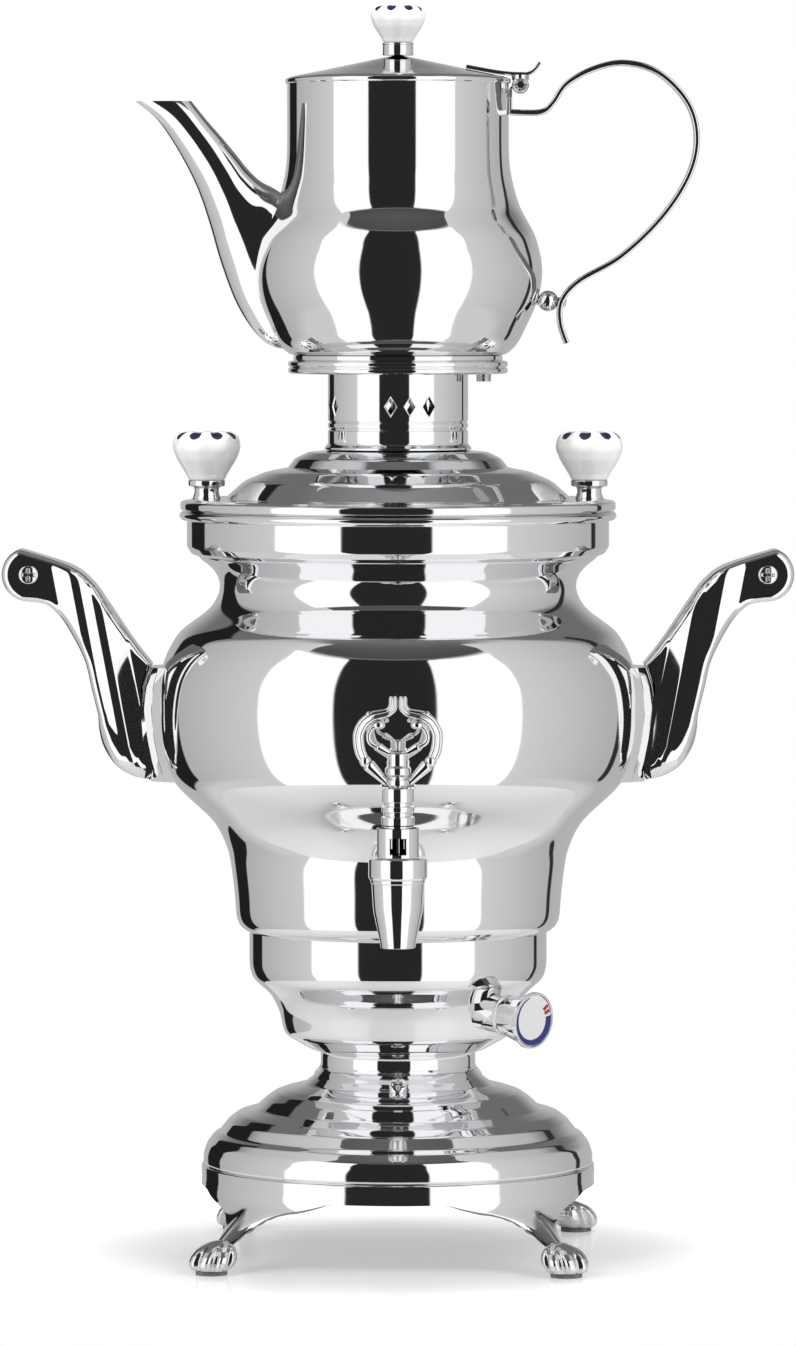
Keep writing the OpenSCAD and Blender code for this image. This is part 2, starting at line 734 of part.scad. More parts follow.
bolt_grip = 10;     // how far the bolts reach into the horns
bracket_root = 12;  // how far the brackets reach in under the belly's widest place
module bolt_holes(r, reach)
    for (z = bolt_zs) translate([belly_r - 8, 0, z]) rotate([0, 90, 0]) cylinder(r = r, h = 8 + reach);

module right_handle_front() color("silver") horn_half();
module right_handle_rear() color("silver") mirror([0, 1, 0]) horn_half();
module left_handle_front() color("silver") mirror([1, 0, 0]) horn_half();
module left_handle_rear() color("silver") mirror([1, 0, 0]) mirror([0, 1, 0]) horn_half();

module right_bracket() color("silver") difference() {
    upright(rounded_loop([
        [belly_r - bracket_root, horn_z + 0.235 * horn_rise], [belly_r + 1, horn_z + 0.235 * horn_rise],
        [pad_outer[0] - seat_gap, pad_outer[1]],
        [belly_r + pad_t - 4 - seat_gap, horn_z - 0.41 * horn_rise],
        [belly_r + 1, horn_z - 0.48 * horn_rise], [belly_r - bracket_root, horn_z - 0.49 * horn_rise],
    ]), -horn_t / 2 + 1.5, horn_t - 3);
    spun_core(tank_path, seat_gap);
    bolt_holes(horn_bolt_d / 2 + bolt_gap, pad_t + bolt_grip + 3);
}

module left_bracket() color("silver") mirror([1, 0, 0]) right_bracket();

module handle_screws() color("lightgray") both_sides()
    translate([horn_end[0], 0, horn_end[1]]) rotate([90, 0, 0]) {
        translate([0, 0, horn_t / 2 - 1.4]) cross_head(horn_screw_d, 1.6, 1.1);
        translate([0, 0, -horn_t / 2 + 1.5]) cylinder(d = 4, h = horn_t - 2.9);
        translate([0, 0, -horn_t / 2 + 0.05]) cylinder(d = horn_screw_d, h = 1.3);
    }

module handle_bolts() color("lightgray") both_sides() for (z = bolt_zs) {
    wall = radius_at(tank_path, z) - tank_wall - 0.6;
    translate([wall - 4, 0, z]) rotate([0, 90, 0]) {
        cylinder(d = horn_bolt_d * 1.8, h = 4, $fn = 6);
        cylinder(d = horn_bolt_d, h = belly_r + pad_t + bolt_grip - wall + 4);
    }
}

// ---- Tap ----

tap_wall = radius_at(tank_path, tap_z);
tap_y = -(tap_wall + tap_reach);
tap_flange_z = tap_z - 4.6;
tap_low_z = tap_z + 4.2;
tap_bonnet_z = tap_low_z + tap_low_h;
tap_key_z = tap_bonnet_z + bonnet_h;

module at_tap(z) translate([0, tap_y, z]) children();

module tap_body() color("silver") difference() {
    union() {
        at_tap(tap_flange_z) cylinder(r = tap_flange_r, h = tap_low_z - tap_flange_z);
        at_tap(tap_low_z) cylinder(r = tap_low_r, h = tap_low_h);
        on_front(tap_z) translate([0, 0, tap_wall - 16]) cylinder(r = arm_r, h = tap_reach + 10);
    }
    // passage through the arm, valve chamber, and rod hole
    on_front(tap_z) translate([0, 0, tap_wall - 17]) cylinder(r = arm_r - 2, h = tap_reach + 13);
    at_tap(tap_flange_z - 1) cylinder(r = nozzle_bore, h = tap_z - tap_flange_z + 1);
    at_tap(tap_z - 1) cylinder(r = rod_r + turning_play, h = 2 * tap_low_h);
    // window that shows the rod
    at_tap(tap_low_z + 1) translate([-3.2, -tap_low_r - 1, 0]) cube([6.4, tap_low_r - 1.5, 6.4]);
}

// The rosette is a boss that stands clear of the belly's slope all round
rosette_r = tap_flange_r - 0.6;
rosette_rim = 1;
module tap_rosette() color("silver") difference() {
    front = radius_at(tank_path, tap_z + rosette_r) + rosette_rim;
    back = tap_wall - 6;
    on_front(tap_z) translate([0, 0, back]) tube(rosette_r, arm_r + bolt_gap, front - back);
    spun_core(tank_path, seat_gap);
}

module tap_seal() color("dimgray") on_front(tap_z)
    intersection() {
        translate([0, 0, tap_wall - 9.5]) tube(arm_r + 4, arm_r + seat_gap, 8);
        rotate([-90, 0, 0]) translate([0, 0, -tap_z]) spun_core(tank_path, -tank_wall - seat_gap);
    }

module tap_nut() color("gray") on_front(tap_z) translate([0, 0, tap_wall - 14]) difference() {
    cylinder(r = arm_r + 4.5, h = 4.4, $fn = 6);
    translate([0, 0, -1]) cylinder(r = arm_r + seat_gap, h = 8, $fn = 48);
}

module tap_bonnet() color("silver") at_tap(tap_bonnet_z) difference() {
    r = bonnet_r;
    spun([
        [rod_r + turning_play, 0], [r - 0.4, 0], [r - 0.4, 0.8], [r, 1.2], [r, 4.2], [r - 0.8, 4.8],
        [r - 0.8, 5.8], [r, 6.4], [r, 8.2], [r - 0.7, 8.8], [r - 0.7, 9.6], [r, 10.2],
        [r, bonnet_h - 0.8], [r - 0.8, bonnet_h], [rod_r + turning_play, bonnet_h],
    ]);
}

module tap_nozzle() color("silver") {
    r = tap_flange_r - 1.2;
    z = tap_flange_z;
    path = rounded([[nozzle_r, z - nozzle_h], [r - 0.6, z - nozzle_h / 2.2, 30], [r, z - 2.4, 8],
        [r, z - 1.6], [r + 0.4, z - 1.2], [r + 0.4, z]]);
    difference() {
        at_tap(0) spun(concat([[nozzle_bore, z - nozzle_h]], path, [[nozzle_bore, z]]));
        on_front(tap_z) translate([0, 0, tap_wall]) cylinder(r = arm_r + seat_gap, h = tap_reach + 1);
    }
}

rod_foot_z = tap_z + 0.6;
module tap_rod() color("gray") at_tap(rod_foot_z)
    cylinder(r = rod_r, h = tap_key_z + key_socket - seat_gap - rod_foot_z);

// A bar of width w along a path, and one that tapers from a to b, both flat
module strip(path, w) polygon(concat(moved(path, w / 2), reversed(moved(path, -w / 2))));
module taper(a, b, w1, w2) {
    side = unit([a[1] - b[1], b[0] - a[0]]) / 2;
    polygon([a + side * w1, b + side * w2, b - side * w2, a - side * w1]);
}

// Half of the key's outline: a prong that curls into an outer ring, a lobe, and two cones to the hub
module key_half() {
    w = key_bar;
    arc_r = 9.8;
    centre = [key_w / 2 - w / 2 - arc_r, key_h - 17.4];
    shoulder = centre + arc_r * [cos(70), sin(70)];
    ankle = centre + arc_r * [cos(-48), sin(-48)];
    strip([for (a = [-48 : 10 : 72]) centre + arc_r * [cos(a), sin(a)]], w);
    strip(smooth([[w / 2, key_h], [w / 2, key_h - 5], [w / 2 + 3, key_h - 8.4], shoulder], 3), w * 0.9);
    taper(ankle + [0.9, 1.6], [2.6, 0.8], w * 1.4, w * 0.6);
    translate(shoulder + [-2, -3]) circle(r = w * 0.6);
    taper(shoulder + [-2, -3], shoulder + [-1.4, -9.6], w * 0.8, w * 0.6);
    taper(shoulder + [-1, -9.2], [1, 12], w * 0.9, w * 0.5);
}

key_socket = 6;  // depth of the rod's end in the key
module tap_key() color("silver") at_tap(tap_key_z + TINY) difference() {
    union() {
        spun([[0, 0], [4.4, 0], [4.4, 2.4], [3.8, 3], [5, 4.6], [5, 7], [4.1, 8], [4.1, 12.6],
            [3, 13.4], [0, 13.4]]);
        translate([0, key_bar / 2, 0]) rotate([90, 0, 0]) linear_extrude(key_bar) {
            key_half();
            mirror([1, 0]) key_half();
        }
    }
    translate([0, 0, -EPS]) cylinder(r = rod_r + seat_gap, h = key_socket - TINY + EPS);
}

// ---- Lid and its knobs ----

lid_path = rounded([
    [collar_r + 0.6, z_collar_top],
    [collar_r + 1.2, z_collar_top + 0.5],
    [bead_r - 0.8, z_collar_top + 0.5, 1.3],
    [bead_r - 0.8, z_margin - 0.8, 1.3],
    [collar_r - 0.4, z_margin - 0.6, 0.6],
    [collar_r - 1.6, z_margin],
    [lid_dome_r + 1.6, z_margin, 2],
    [lid_dome_r - 7, z_margin + lid_shoulder_h - 1.6, 4],
    [lid_dome_r - 14, z_margin + lid_shoulder_h + 1.4, 6],
    [lid_crease_r, z_margin + 12.8],
    [lid_crease_r - 2.6, z_margin + 16.6, 3],
    [lid_crease_r - 10, z_lid_top - 0.6, 3],
    [steam_r + 1, z_lid_top],
    [steam_r + 1, z_lid_top + 3],
]);
skirt_r = mouth_r - tank_wall - lift_gap;
skirt_notch = 6.4;

module at_knobs() both_sides() translate([knob_x, 0, 0]) children();

module lid_shell() color("silver") difference() {
    union() {
        spun_wall(lid_path, lid_wall);
        translate([0, 0, z_collar_top]) tube(collar_r + 1, skirt_r - lid_wall, lid_wall);
        translate([0, 0, z_mouth + 1 - skirt_d]) tube(skirt_r, skirt_r - lid_wall, skirt_d + 0.6 + lid_wall);
    }
    at_knobs() {
        translate([0, 0, z_margin - 4]) cylinder(d = stud_d + 2 * bolt_gap, h = 6);
        translate([0, 0, z_mouth - skirt_d])
            cylinder(r = skirt_notch, h = z_margin - lid_wall - z_mouth + skirt_d);
    }
}

// A porcelain knob on a metal stem, standing on z = 0
function knob_path(r, h) = rounded([
    [0, 0], [r * 0.6, 0, 1], [r * 0.68, h * 0.12, 2], [r * 0.86, h * 0.42, 8], [r, h * 0.68, 4],
    [r * 0.93, h * 0.86, 3], [r * 0.6, h * 0.97, 5], [0, h],
]);

module knob(r, h, bore, depth) difference() {
    spun(knob_path(r, h));
    translate([0, 0, -EPS]) cylinder(d = bore, h = depth);
}

module ferrule(r, h, foot, bore) difference() {
    spun(rounded([
        [0, 0], [foot, 0], [foot, 0.8], [foot - 1.2, 1.6, 1], [foot - 2, h * 0.5, 4],
        [foot - 1.6, h - 2.6, 1], [r, h - 2.2, 0.5], [r, h - 0.3], [r - 0.3, h], [0, h],
    ]));
    translate([0, 0, -EPS]) cylinder(d = bore, h = h + 2 * EPS);
}

module lid_knobs() color("white") at_knobs() translate([0, 0, z_margin + stem_h + EPS])
    knob(knob_r, knob_h, stud_d + 2 * seat_gap, stud_grip + 1);

module lid_ferrules() color("silver") at_knobs() translate([0, 0, z_margin])
    ferrule(ferrule_r, stem_h, 5.6, stud_d + 2 * seat_gap);

stud_end = 3;    // what stands out under the lid
stud_grip = 9;   // how far a stud reaches into its knob
stud_low = z_margin - lid_wall - stud_end;
module lid_studs() color("gray") at_knobs() translate([0, 0, stud_low])
    cylinder(d = stud_d, h = z_margin + stem_h + stud_grip - stud_low);

module lid_nuts() color("gray") at_knobs() translate([0, 0, z_margin - lid_wall - 2.4 - EPS]) difference() {
    cylinder(d = stud_d * 1.9, h = 2.4, $fn = 6);
    translate([0, 0, -1]) cylinder(d = stud_d + 2 * seat_gap, h = 5, $fn = 48);
}

// ---- Crown and pot ring ----

crown_bore = steam_r + 1 + lift_gap;
vent_angle = -78;   // middle of the front group of vents
vent_pitch = 16;

module crown_tube() color("silver") {
    r = crown_r;
    difference() {
        spun([
            [crown_bore, z_lid_top], [r + 1.4, z_lid_top], [r + 1.4, z_lid_top + 0.8],
            [r, z_lid_top + 2.4], [r, z_lid_top + 7.6], [r - 0.4, z_lid_top + 8],
            [r - 0.4, z_lid_top + 8.6], [r, z_lid_top + 9], [r, z_lid_top + 10.4],
            [r - 0.4, z_lid_top + 10.8], [r - 0.4, z_lid_top + 11.2], [r, z_lid_top + 11.6],
            [r, z_pot_ring], [r - crown_wall, z_pot_ring], [r - crown_wall, z_lid_top + 3.6],
            [crown_bore, z_lid_top + 3.6],
        ]);
        for (g = [0 : 3], i = [-1 : 1])
            rotate([0, 0, vent_angle + 90 * g + vent_pitch * i])
                translate([r - 4, 0, z_lid_top + vent_z]) rotate([90, 0, 90]) linear_extrude(8)
                    polygon([[vent_w / 2, 0], [0, vent_h / 2], [-vent_w / 2, 0], [0, -vent_h / 2]]);
    }
}

ring_open = crown_r - 4;
module pot_ring() color("silver") {
    r = pot_ring_r;
    h = pot_ring_h;
    difference() {
        translate([0, 0, z_pot_ring]) spun(rounded_loop([
            [ring_open, 0], [r - 1.5, 0], [r, h * 0.1, 0.8], [r, h * 0.38, 0.8], [r - 0.8, h * 0.5],
            [r, h * 0.62, 0.8], [r, h * 0.92, 0.8], [r - 1.2, h], [pot_foot_r - 4, h],
            [pot_foot_r - 4, 1.2], [ring_open, 1.2],
        ]));
        at_ring_tab() translate([0, 0, -1]) cylinder(r = 1.2 + bolt_gap, h = 4);
    }
}

tab_r = crown_r + 7.2;
module at_ring_tab() rotate([0, 0, -14]) translate([tab_r, 0, z_pot_ring]) children();

module ring_tab() color("gray") at_ring_tab() {
    translate([0, 0, -EPS - 3]) tube(2.9, 1.2, 3);
    translate([0, 0, -3 - EPS]) cylinder(r = 1.2, h = 5);
}

// ---- Teapot ----

pot_path = rounded([
    [0, z_pot_body],
    [pot_foot_r + 0.8, z_pot_body, 2],
    [pot_foot_r + 6.8, z_pot_body + 6, 6],
    [pot_belly_r, z_pot_body + pot_belly_h - 5, 14],
    [pot_belly_r, z_pot_body + pot_belly_h + 6.4, 14],
    [pot_neck_r, z_pot_body + pot_belly_h + 36.2, 26],
    [pot_neck_r, z_rim],
]);

// Two rails of the spout in the plane of the handle, from its mouth down to the body.
// Distances are outwards from the teapot's axis and downwards from the rim.
mouth_drop = spout_below;
outer_rail = [[spout_reach, mouth_drop], [spout_reach - 8.4, 13.8], [spout_reach - 15.6, 24],
    [spout_reach - 22, 35.6], [spout_reach - 26, 44.8], [spout_reach - 29.8, 56.4],
    [spout_reach - 34, 71], [spout_reach - 39.6, 86], [spout_reach - 46, 97.4],
    [pot_belly_r - 4, 104.8]];
inner_rail = [[spout_reach - 22.4, mouth_drop], [spout_reach - 28.4, 14.2],
    [spout_reach - 34.2, 20.8], [spout_reach - 40.4, 28.2], [spout_reach - 45, 34],
    [pot_neck_r + 10.6, 38.6], [pot_neck_r + 5.4, 41.4], [pot_neck_r + 2, 43.6],
    [pot_neck_r + 1, 44.6], [pot_neck_r + 0.6, 45.6]];
spout_sides = 24;

outer_line = smooth(outer_rail, 2);
inner_line = smooth(inner_rail, 2);

// Ring i of the spout as points, with its wall taken in by d; the last ring lies on the body
function spout_ring(i, n, d) =
    let (
        o = outer_line[i], p = inner_line[i],
        t = pow(i / n, 0.8),
        w = spout_mouth_w + (spout_base_w - spout_mouth_w) * t - d,
        mid = (o + p) / 2,
        half = (o - p) / 2 * (1 - d / norm((o - p) / 2))
    )
    [for (k = [0 : spout_sides - 1])
        let (
            a = 360 * k / spout_sides,
            q = mid + half * cos(a),
            y = w * sin(a),
            z = z_rim - q[1],
            r = radius_at(pot_path, z) + seat_gap,
            on_body = sqrt(max(r * r - y * y, 0)),
            x = i == n ? on_body : max(q[0], on_body)
        )
        [-x, y, z]];

module teapot_spout() color("silver") {
    n = len(outer_line) - 1;
    s = spout_sides;
    outer = [for (i = [0 : n]) each spout_ring(i, n, 0)];
    inner = [for (i = [0 : n]) each spout_ring(i, n, spout_wall)];
    m = len(outer);
    skin = [for (i = [0 : n - 1], k = [0 : s - 1])
        [i * s + k, i * s + (k + 1) % s, (i + 1) * s + (k + 1) % s, (i + 1) * s + k]];
    lining = [for (f = skin) [for (v = reversed(f)) v + m]];
    mouth = [for (k = [0 : s - 1]) [k, m + k, m + (k + 1) % s, (k + 1) % s]];
    base = [for (k = [0 : s - 1]) reversed([k, m + k, m + (k + 1) % s, (k + 1) % s]) + n * s * [1, 1, 1, 1]];
    polyhedron(points = concat(outer, inner), faces = concat(skin, lining, mouth, base));
}

hinge_x = pot_neck_r + hinge_out;
hinge_z = z_rim - 0.4;
ball_z = z_rim - ball_below;
ball_slope = radius_at(pot_path, ball_z + 1) - radius_at(pot_path, ball_z);
ball_x = radius_at(pot_path, ball_z) + ball_d / 2 * sqrt(1 + ball_slope * ball_slope);

module teapot_body() color("silver") difference() {
    spun_wall(pot_path, pot_wall);
    // strainer holes behind the spout
    for (row = [-2 : 2], col = [-2 : 2])
        translate([-pot_belly_r - 4, col * 4, z_rim - 78 + row * 5]) rotate([0, 90, 0])
            cylinder(r = 1.2, h = 22);
    translate([ball_x - ball_d, 0, ball_z]) rotate([0, 90, 0]) cylinder(r = 1.5 + bolt_gap, h = ball_d);
}

module teapot_foot() color("silver") translate([0, 0, z_pot])
    tube(pot_foot_r, pot_foot_r - 8, pot_foot_h);

// The strap's centre line, outwards from the neck and upwards from the rim
strap_drop = 11.2;
strap_foot = ball_x + ball_d / 2 + strap_t / 2 + TINY - pot_neck_r;
strap_line = smooth([
    [0.6, -strap_drop], [12.5, -strap_drop], [17.3, -7.8], [22.9, 0], [33.7, 6], [strap_reach - 28.8, 8.4],
    [strap_reach - 15.2, 4.4], [strap_reach - 3.6, -7.6], [strap_reach, -22], [strap_reach - 3.6, -37.2],
    [strap_reach - 14.4, -53.6], [strap_reach - 30.4, -68.8],
    [strap_foot + 7, -ball_below + 8], [strap_foot, -ball_below], [strap_foot - 0.6, -ball_below - 8.6],
    [strap_foot + 2, -ball_below - 16.8],
], 4);

module teapot_handle() color("silver") {
    line = [for (p = strap_line) p + [pot_neck_r, z_rim]];
    difference() {
        upright(concat(moved(line, strap_t / 2), reversed(moved(line, -strap_t / 2))), -strap_w / 2, strap_w);
        translate([ball_x, 0, ball_z]) rotate([0, 90, 0]) cylinder(r = 1.5 + bolt_gap, h = ball_d * 1.5);
    }
}

module handle_ball() color("silver") translate([ball_x + seat_gap, 0, ball_z]) {
    sphere(d = ball_d - 2 * seat_gap);
    rotate([0, 90, 0]) {
        cylinder(r = 1.5, h = ball_d / 2 + strap_t + 2.4);
        translate([0, 0, ball_d / 2 + strap_t + 1.8]) cylinder(r1 = 2.4, r2 = 1.5, h = 1.2);
        translate([0, 0, -ball_d / 2 - pot_wall - 2]) cylinder(r = 1.5, h = ball_d / 2);
    }
}

knuckle_w = 5.6;
ear_t = 2;
saddle_low = z_rim - strap_drop + strap_t / 2 + seat_gap;
module hinge_bracket() color("silver") difference() {
    union() {
        // saddle on the neck
        difference() {
            translate([0, -knuckle_w / 2 - ear_t - 1, saddle_low])
                cube([pot_neck_r + 1.8, knuckle_w + 2 * ear_t + 2, hinge_z - 1 - saddle_low]);
            translate([0, 0, z_rim - 20]) cylinder(r = pot_neck_r + seat_gap, h = 30);
        }
        // ears
        for (s = [-1, 1]) translate([0, s * (knuckle_w + ear_t + 2 * TINY) / 2, 0])
            upright(rounded([
                [pot_neck_r + 0.8, saddle_low], [pot_neck_r + 2.4, saddle_low],
                [hinge_x + knuckle_r, hinge_z - 3, 3], [hinge_x + knuckle_r, hinge_z + knuckle_r, 3],
                [pot_neck_r + 1.6, hinge_z + knuckle_r, 3], [pot_neck_r + 0.8, z_rim - 4],
            ]), -ear_t / 2, ear_t);
    }
    translate([hinge_x, 20, hinge_z]) rotate([90, 0, 0]) cylinder(d = pin_d + 2 * bolt_gap, h = 40);
    // room for the lid's knuckle
    translate([hinge_x, knuckle_w / 2 + TINY, hinge_z]) rotate([90, 0, 0])
        cylinder(r = knuckle_r + TINY, h = knuckle_w + 2 * TINY);
}

module hinge_pin() color("lightgray") translate([hinge_x, 0, hinge_z]) rotate([90, 0, 0]) {
    w = knuckle_w / 2 + TINY + ear_t + EPS;
    translate([0, 0, -w - 0.8]) cylinder(d = pin_d, h = 2 * w + 1.6);
    for (s = [0, 1]) mirror([0, 0, s]) translate([0, 0, w]) cylinder(r1 = knuckle_r - 0.6, r2 = 1.4, h = 1.6);
}

pot_skirt_r = pot_neck_r - pot_wall - lift_gap;
module teapot_lid() color("silver") {
    rim = [pot_neck_r + 0.6, z_rim + pot_lid_rim];
    path = rounded([
        [rim[0], z_rim], [rim[0], z_rim + pot_lid_rim, 1.2],
        [rim[0] - 8, z_rim + pot_lid_rim + 1.4, 8], [stud_d / 2 + bolt_gap, z_pot_lid],
    ]);
    difference() {
        union() {
            spun_wall(path, lid_wall);
            translate([0, 0, z_rim]) tube(pot_neck_r + 0.2, pot_skirt_r - lid_wall, lid_wall);
            translate([0, 0, z_rim - pot_skirt_d]) tube(pot_skirt_r, pot_skirt_r - lid_wall, pot_skirt_d + 1);
        }
        // room for the bracket's ears
        for (s = [-1, 1]) translate([hinge_x - knuckle_r - 1.6,
            s * (knuckle_w + ear_t + 2 * TINY) / 2 - ear_t / 2 - TINY, z_rim - 1])
            cube([9, ear_t + 2 * TINY, knuckle_r + 1.4]);
    }
    // arm over the rim, knuckle and thumb lever
    difference() {
        union() {
            upright([
                [pot_neck_r - 18, z_rim + pot_lid_rim + 3], [pot_neck_r - 14, z_rim + pot_lid_rim + 1.8],
                [hinge_x, hinge_z + 0.6], [hinge_x + 1.6, hinge_z + knuckle_r - 0.4],
                [hinge_x, hinge_z + knuckle_r], [pot_neck_r - 14, z_rim + pot_lid_rim + 4.2],
                [pot_neck_r - 18, z_rim + pot_lid_rim + 4],
            ], -knuckle_w / 2, knuckle_w);
            translate([hinge_x, knuckle_w / 2, hinge_z]) rotate([90, 0, 0])
                cylinder(r = knuckle_r, h = knuckle_w);
            upright([
                [hinge_x - 3, hinge_z + 2.6], [hinge_x + 2, hinge_z + 2], [hinge_x + 4.4, hinge_z + 3.6],
                [hinge_x + 7.4, hinge_z + 8.4], [hinge_x + 6.2, hinge_z + 8.8], [hinge_x + 3.2, hinge_z + 5],
                [hinge_x, hinge_z + 4.2], [hinge_x - 3, hinge_z + 4.6],
            ], -knuckle_w / 2 + 0.4, knuckle_w - 0.8);
        }
        translate([hinge_x, 20, hinge_z]) rotate([90, 0, 0])
            cylinder(r = pin_d / 2 + turning_play, h = 40);
    }
}

pot_stem_h = 5;
module pot_knob_ferrule() color("silver") translate([0, 0, z_pot_lid])
    ferrule(6.3, pot_stem_h, 5.6, stud_d + 2 * seat_gap);

module pot_knob() color("white") translate([0, 0, z_pot_lid + pot_stem_h + EPS])
    knob(pot_knob_r, pot_knob_h, stud_d + 2 * seat_gap, stud_grip);

module pot_knob_stud() color("gray") {
    low = z_pot_lid - lid_wall - stud_end;
    translate([0, 0, low]) cylinder(d = stud_d, h = z_pot_lid + pot_stem_h + stud_grip - 1 - low);
    translate([0, 0, low + 0.2]) cylinder(d = stud_d * 1.9, h = 2.2, $fn = 6);
}

foot_ring();
paw_feet();
foot_pads();
bottom_plate();
base_dome();
dome_screws();
neck_ring();
tie_rod();
tie_nut();
heater_housing();
tank_shell();
tank_floor();
heater_plate();
heating_element();
thermal_cutout();
sensor_bulb();
terminal_block();
thermostat_body();
thermostat_collar();
thermostat_shaft();
thermostat_knob();
dial_insert();
cord_gland();
gland_nut();
collar_band();
left_handle_front();
left_handle_rear();
right_handle_front();
right_handle_rear();
left_bracket();
right_bracket();
handle_screws();
handle_bolts();
tap_body();
tap_rosette();
tap_seal();
tap_nut();
tap_bonnet();
tap_nozzle();
tap_rod();
tap_key();
lid_shell();
lid_knobs();
lid_ferrules();
lid_studs();
lid_nuts();
crown_tube();
pot_ring();
ring_tab();
teapot_body();
teapot_foot();
teapot_spout();
teapot_handle();
handle_ball();
hinge_bracket();
hinge_pin();
teapot_lid();
pot_knob();
pot_knob_ferrule();
pot_knob_stud();
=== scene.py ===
"""Electric samovar with a teapot on its crown: its polished shells, fittings and studio.

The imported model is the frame. Every piece here is a surface worked out on a grid of two
parameters, in millimetres, in the frame's own axes: +Z up, front towards -Y.
"""

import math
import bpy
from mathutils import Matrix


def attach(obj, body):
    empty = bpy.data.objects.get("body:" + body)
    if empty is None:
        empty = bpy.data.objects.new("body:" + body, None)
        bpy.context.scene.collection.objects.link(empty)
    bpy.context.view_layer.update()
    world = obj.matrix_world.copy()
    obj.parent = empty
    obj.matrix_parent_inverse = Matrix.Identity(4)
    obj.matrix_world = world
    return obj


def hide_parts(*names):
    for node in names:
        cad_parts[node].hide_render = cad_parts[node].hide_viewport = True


bl_info = {
    "name": "Samovar",
    "version": (1, 0, 0),
    "blender": (4, 5, 0),
    "location": "3D View > Sidebar > Samovar",
    "description": "Builds the visible shells and fittings of an electric samovar with its teapot",
    "category": "Add Mesh",
}

import bmesh
import bpy
import numpy as np
from mathutils import Vector

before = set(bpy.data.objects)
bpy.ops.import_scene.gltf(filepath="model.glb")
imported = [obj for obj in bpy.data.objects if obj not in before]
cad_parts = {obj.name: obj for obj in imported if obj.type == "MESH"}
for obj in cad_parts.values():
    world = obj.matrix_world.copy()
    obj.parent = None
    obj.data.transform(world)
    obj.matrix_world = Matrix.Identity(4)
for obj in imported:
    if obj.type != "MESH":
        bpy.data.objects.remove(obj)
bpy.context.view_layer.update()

MM = 0.001
TURNS = 256          # steps round a large shell
FEW_TURNS = 96       # steps round a small fitting
POLE = 1e-6          # a radius under this is a pole

# Heights of the stack above the table
Z_DOME, Z_NECK, Z_HOUSING, Z_TANK = 36.4, 74.4, 82.0, 130.0
Z_MOUTH, Z_COLLAR, Z_MARGIN, Z_LID = 296.6, 298.2, 303.0, 322.7
Z_POT_RING, Z_POT, Z_POT_BODY, Z_RIM, Z_POT_LID = 353.0, 358.2, 360.2, 468.4, 479.8


# ---- Paths: outlines and centre lines as arrays of points ----


def unit(v):
    """The vector, or each vector of an array, scaled to length one."""
    v = np.asarray(v, float)
    return v / np.maximum(np.linalg.norm(v, axis=-1, keepdims=True), 1e-12)


def corner_arc(before, corner, after, radius, steps):
    """A circle of the given radius that touches both sides of the corner, cut short by a short
    side."""
    p = np.array(corner[:2], float)
    to_a, to_b = np.array(before[:2], float) - p, np.array(after[:2], float) - p
    u, v = unit(to_a), unit(to_b)
    half = math.acos(np.clip(u @ v, -1, 1)) / 2
    room = 0.49 * min(np.linalg.norm(to_a), np.linalg.norm(to_b))
    cut = min(radius / math.tan(half), room)
    centre = p + unit(u + v) * cut / math.cos(half)
    start, end = p + u * cut - centre, p + v * cut - centre
    sweep = math.atan2(start[0] * end[1] - start[1] * end[0], start @ end)
    turn = np.linspace(0, sweep, steps + 1)[:, None]
    across = np.array([-start[1], start[0]])
    return centre + start * np.cos(turn) + across * np.sin(turn)


def rounded(corners, steps=8, closed=False):
    """A path through corners (x, y, radius): a corner with a radius becomes an arc, the others stay
    sharp."""
    count = len(corners)
    parts = []
    for i, corner in enumerate(corners):
        end = not closed and i in (0, count - 1)
        if end or len(corner) < 3:
            parts.append(np.array([corner[:2]], float))
        else:
            after = corners[(i + 1) % count]
            parts.append(corner_arc(corners[i - 1], corner, after, corner[2], steps))
    return np.concatenate(parts)


def lifted(corners, z):
    """Corners (x, y, radius) with z added to each y."""
    return [(corner[0], corner[1] + z, *corner[2:]) for corner in corners]


def lengths(path):
    """Distance along the path at each of its points."""
    return np.concatenate([[0], np.cumsum(np.linalg.norm(np.diff(path, axis=0), axis=1))])


def by_column(path, work):
    """The path with each of its columns put through the same work."""
    return np.stack([work(column) for column in path.T], 1)


def dense(path, step=1.2):
    """The same path with points added on its long sides, so that no side is longer than the
    step."""
    sides = np.linalg.norm(np.diff(path, axis=0), axis=1)
    counts = np.maximum(1, np.ceil(sides / step)).astype(int)
    at = np.concatenate([i + np.arange(n) / n for i, n in enumerate(counts)] + [[len(path) - 1]])
    return by_column(path, lambda column: np.interp(at, np.arange(len(path)), column))


def evenly(path, count):
    """The path as count points at equal distances along it."""
    along = lengths(path)
    at = np.linspace(0, along[-1], count)
    return by_column(path, lambda column: np.interp(at, along, column))


def softened(path, sigma, step=0.8):
    """Weighted mean of each point's neighbours, by a bell curve of width sigma. Both ends stay in
    place."""
    path = evenly(path, max(8, int(lengths(path)[-1] / step)))
    reach = int(min(3 * sigma / step, len(path) - 1)) + 1
    weights = np.exp(-0.5 * (np.arange(-reach, reach + 1) * step / sigma) ** 2)
    head = 2 * path[0] - path[1 : reach + 1][::-1]
    tail = 2 * path[-1] - path[-reach - 1 : -1][::-1]
    padded = np.concatenate([head, path, tail])
    return by_column(padded, lambda column: np.convolve(column, weights / weights.sum(), "valid"))


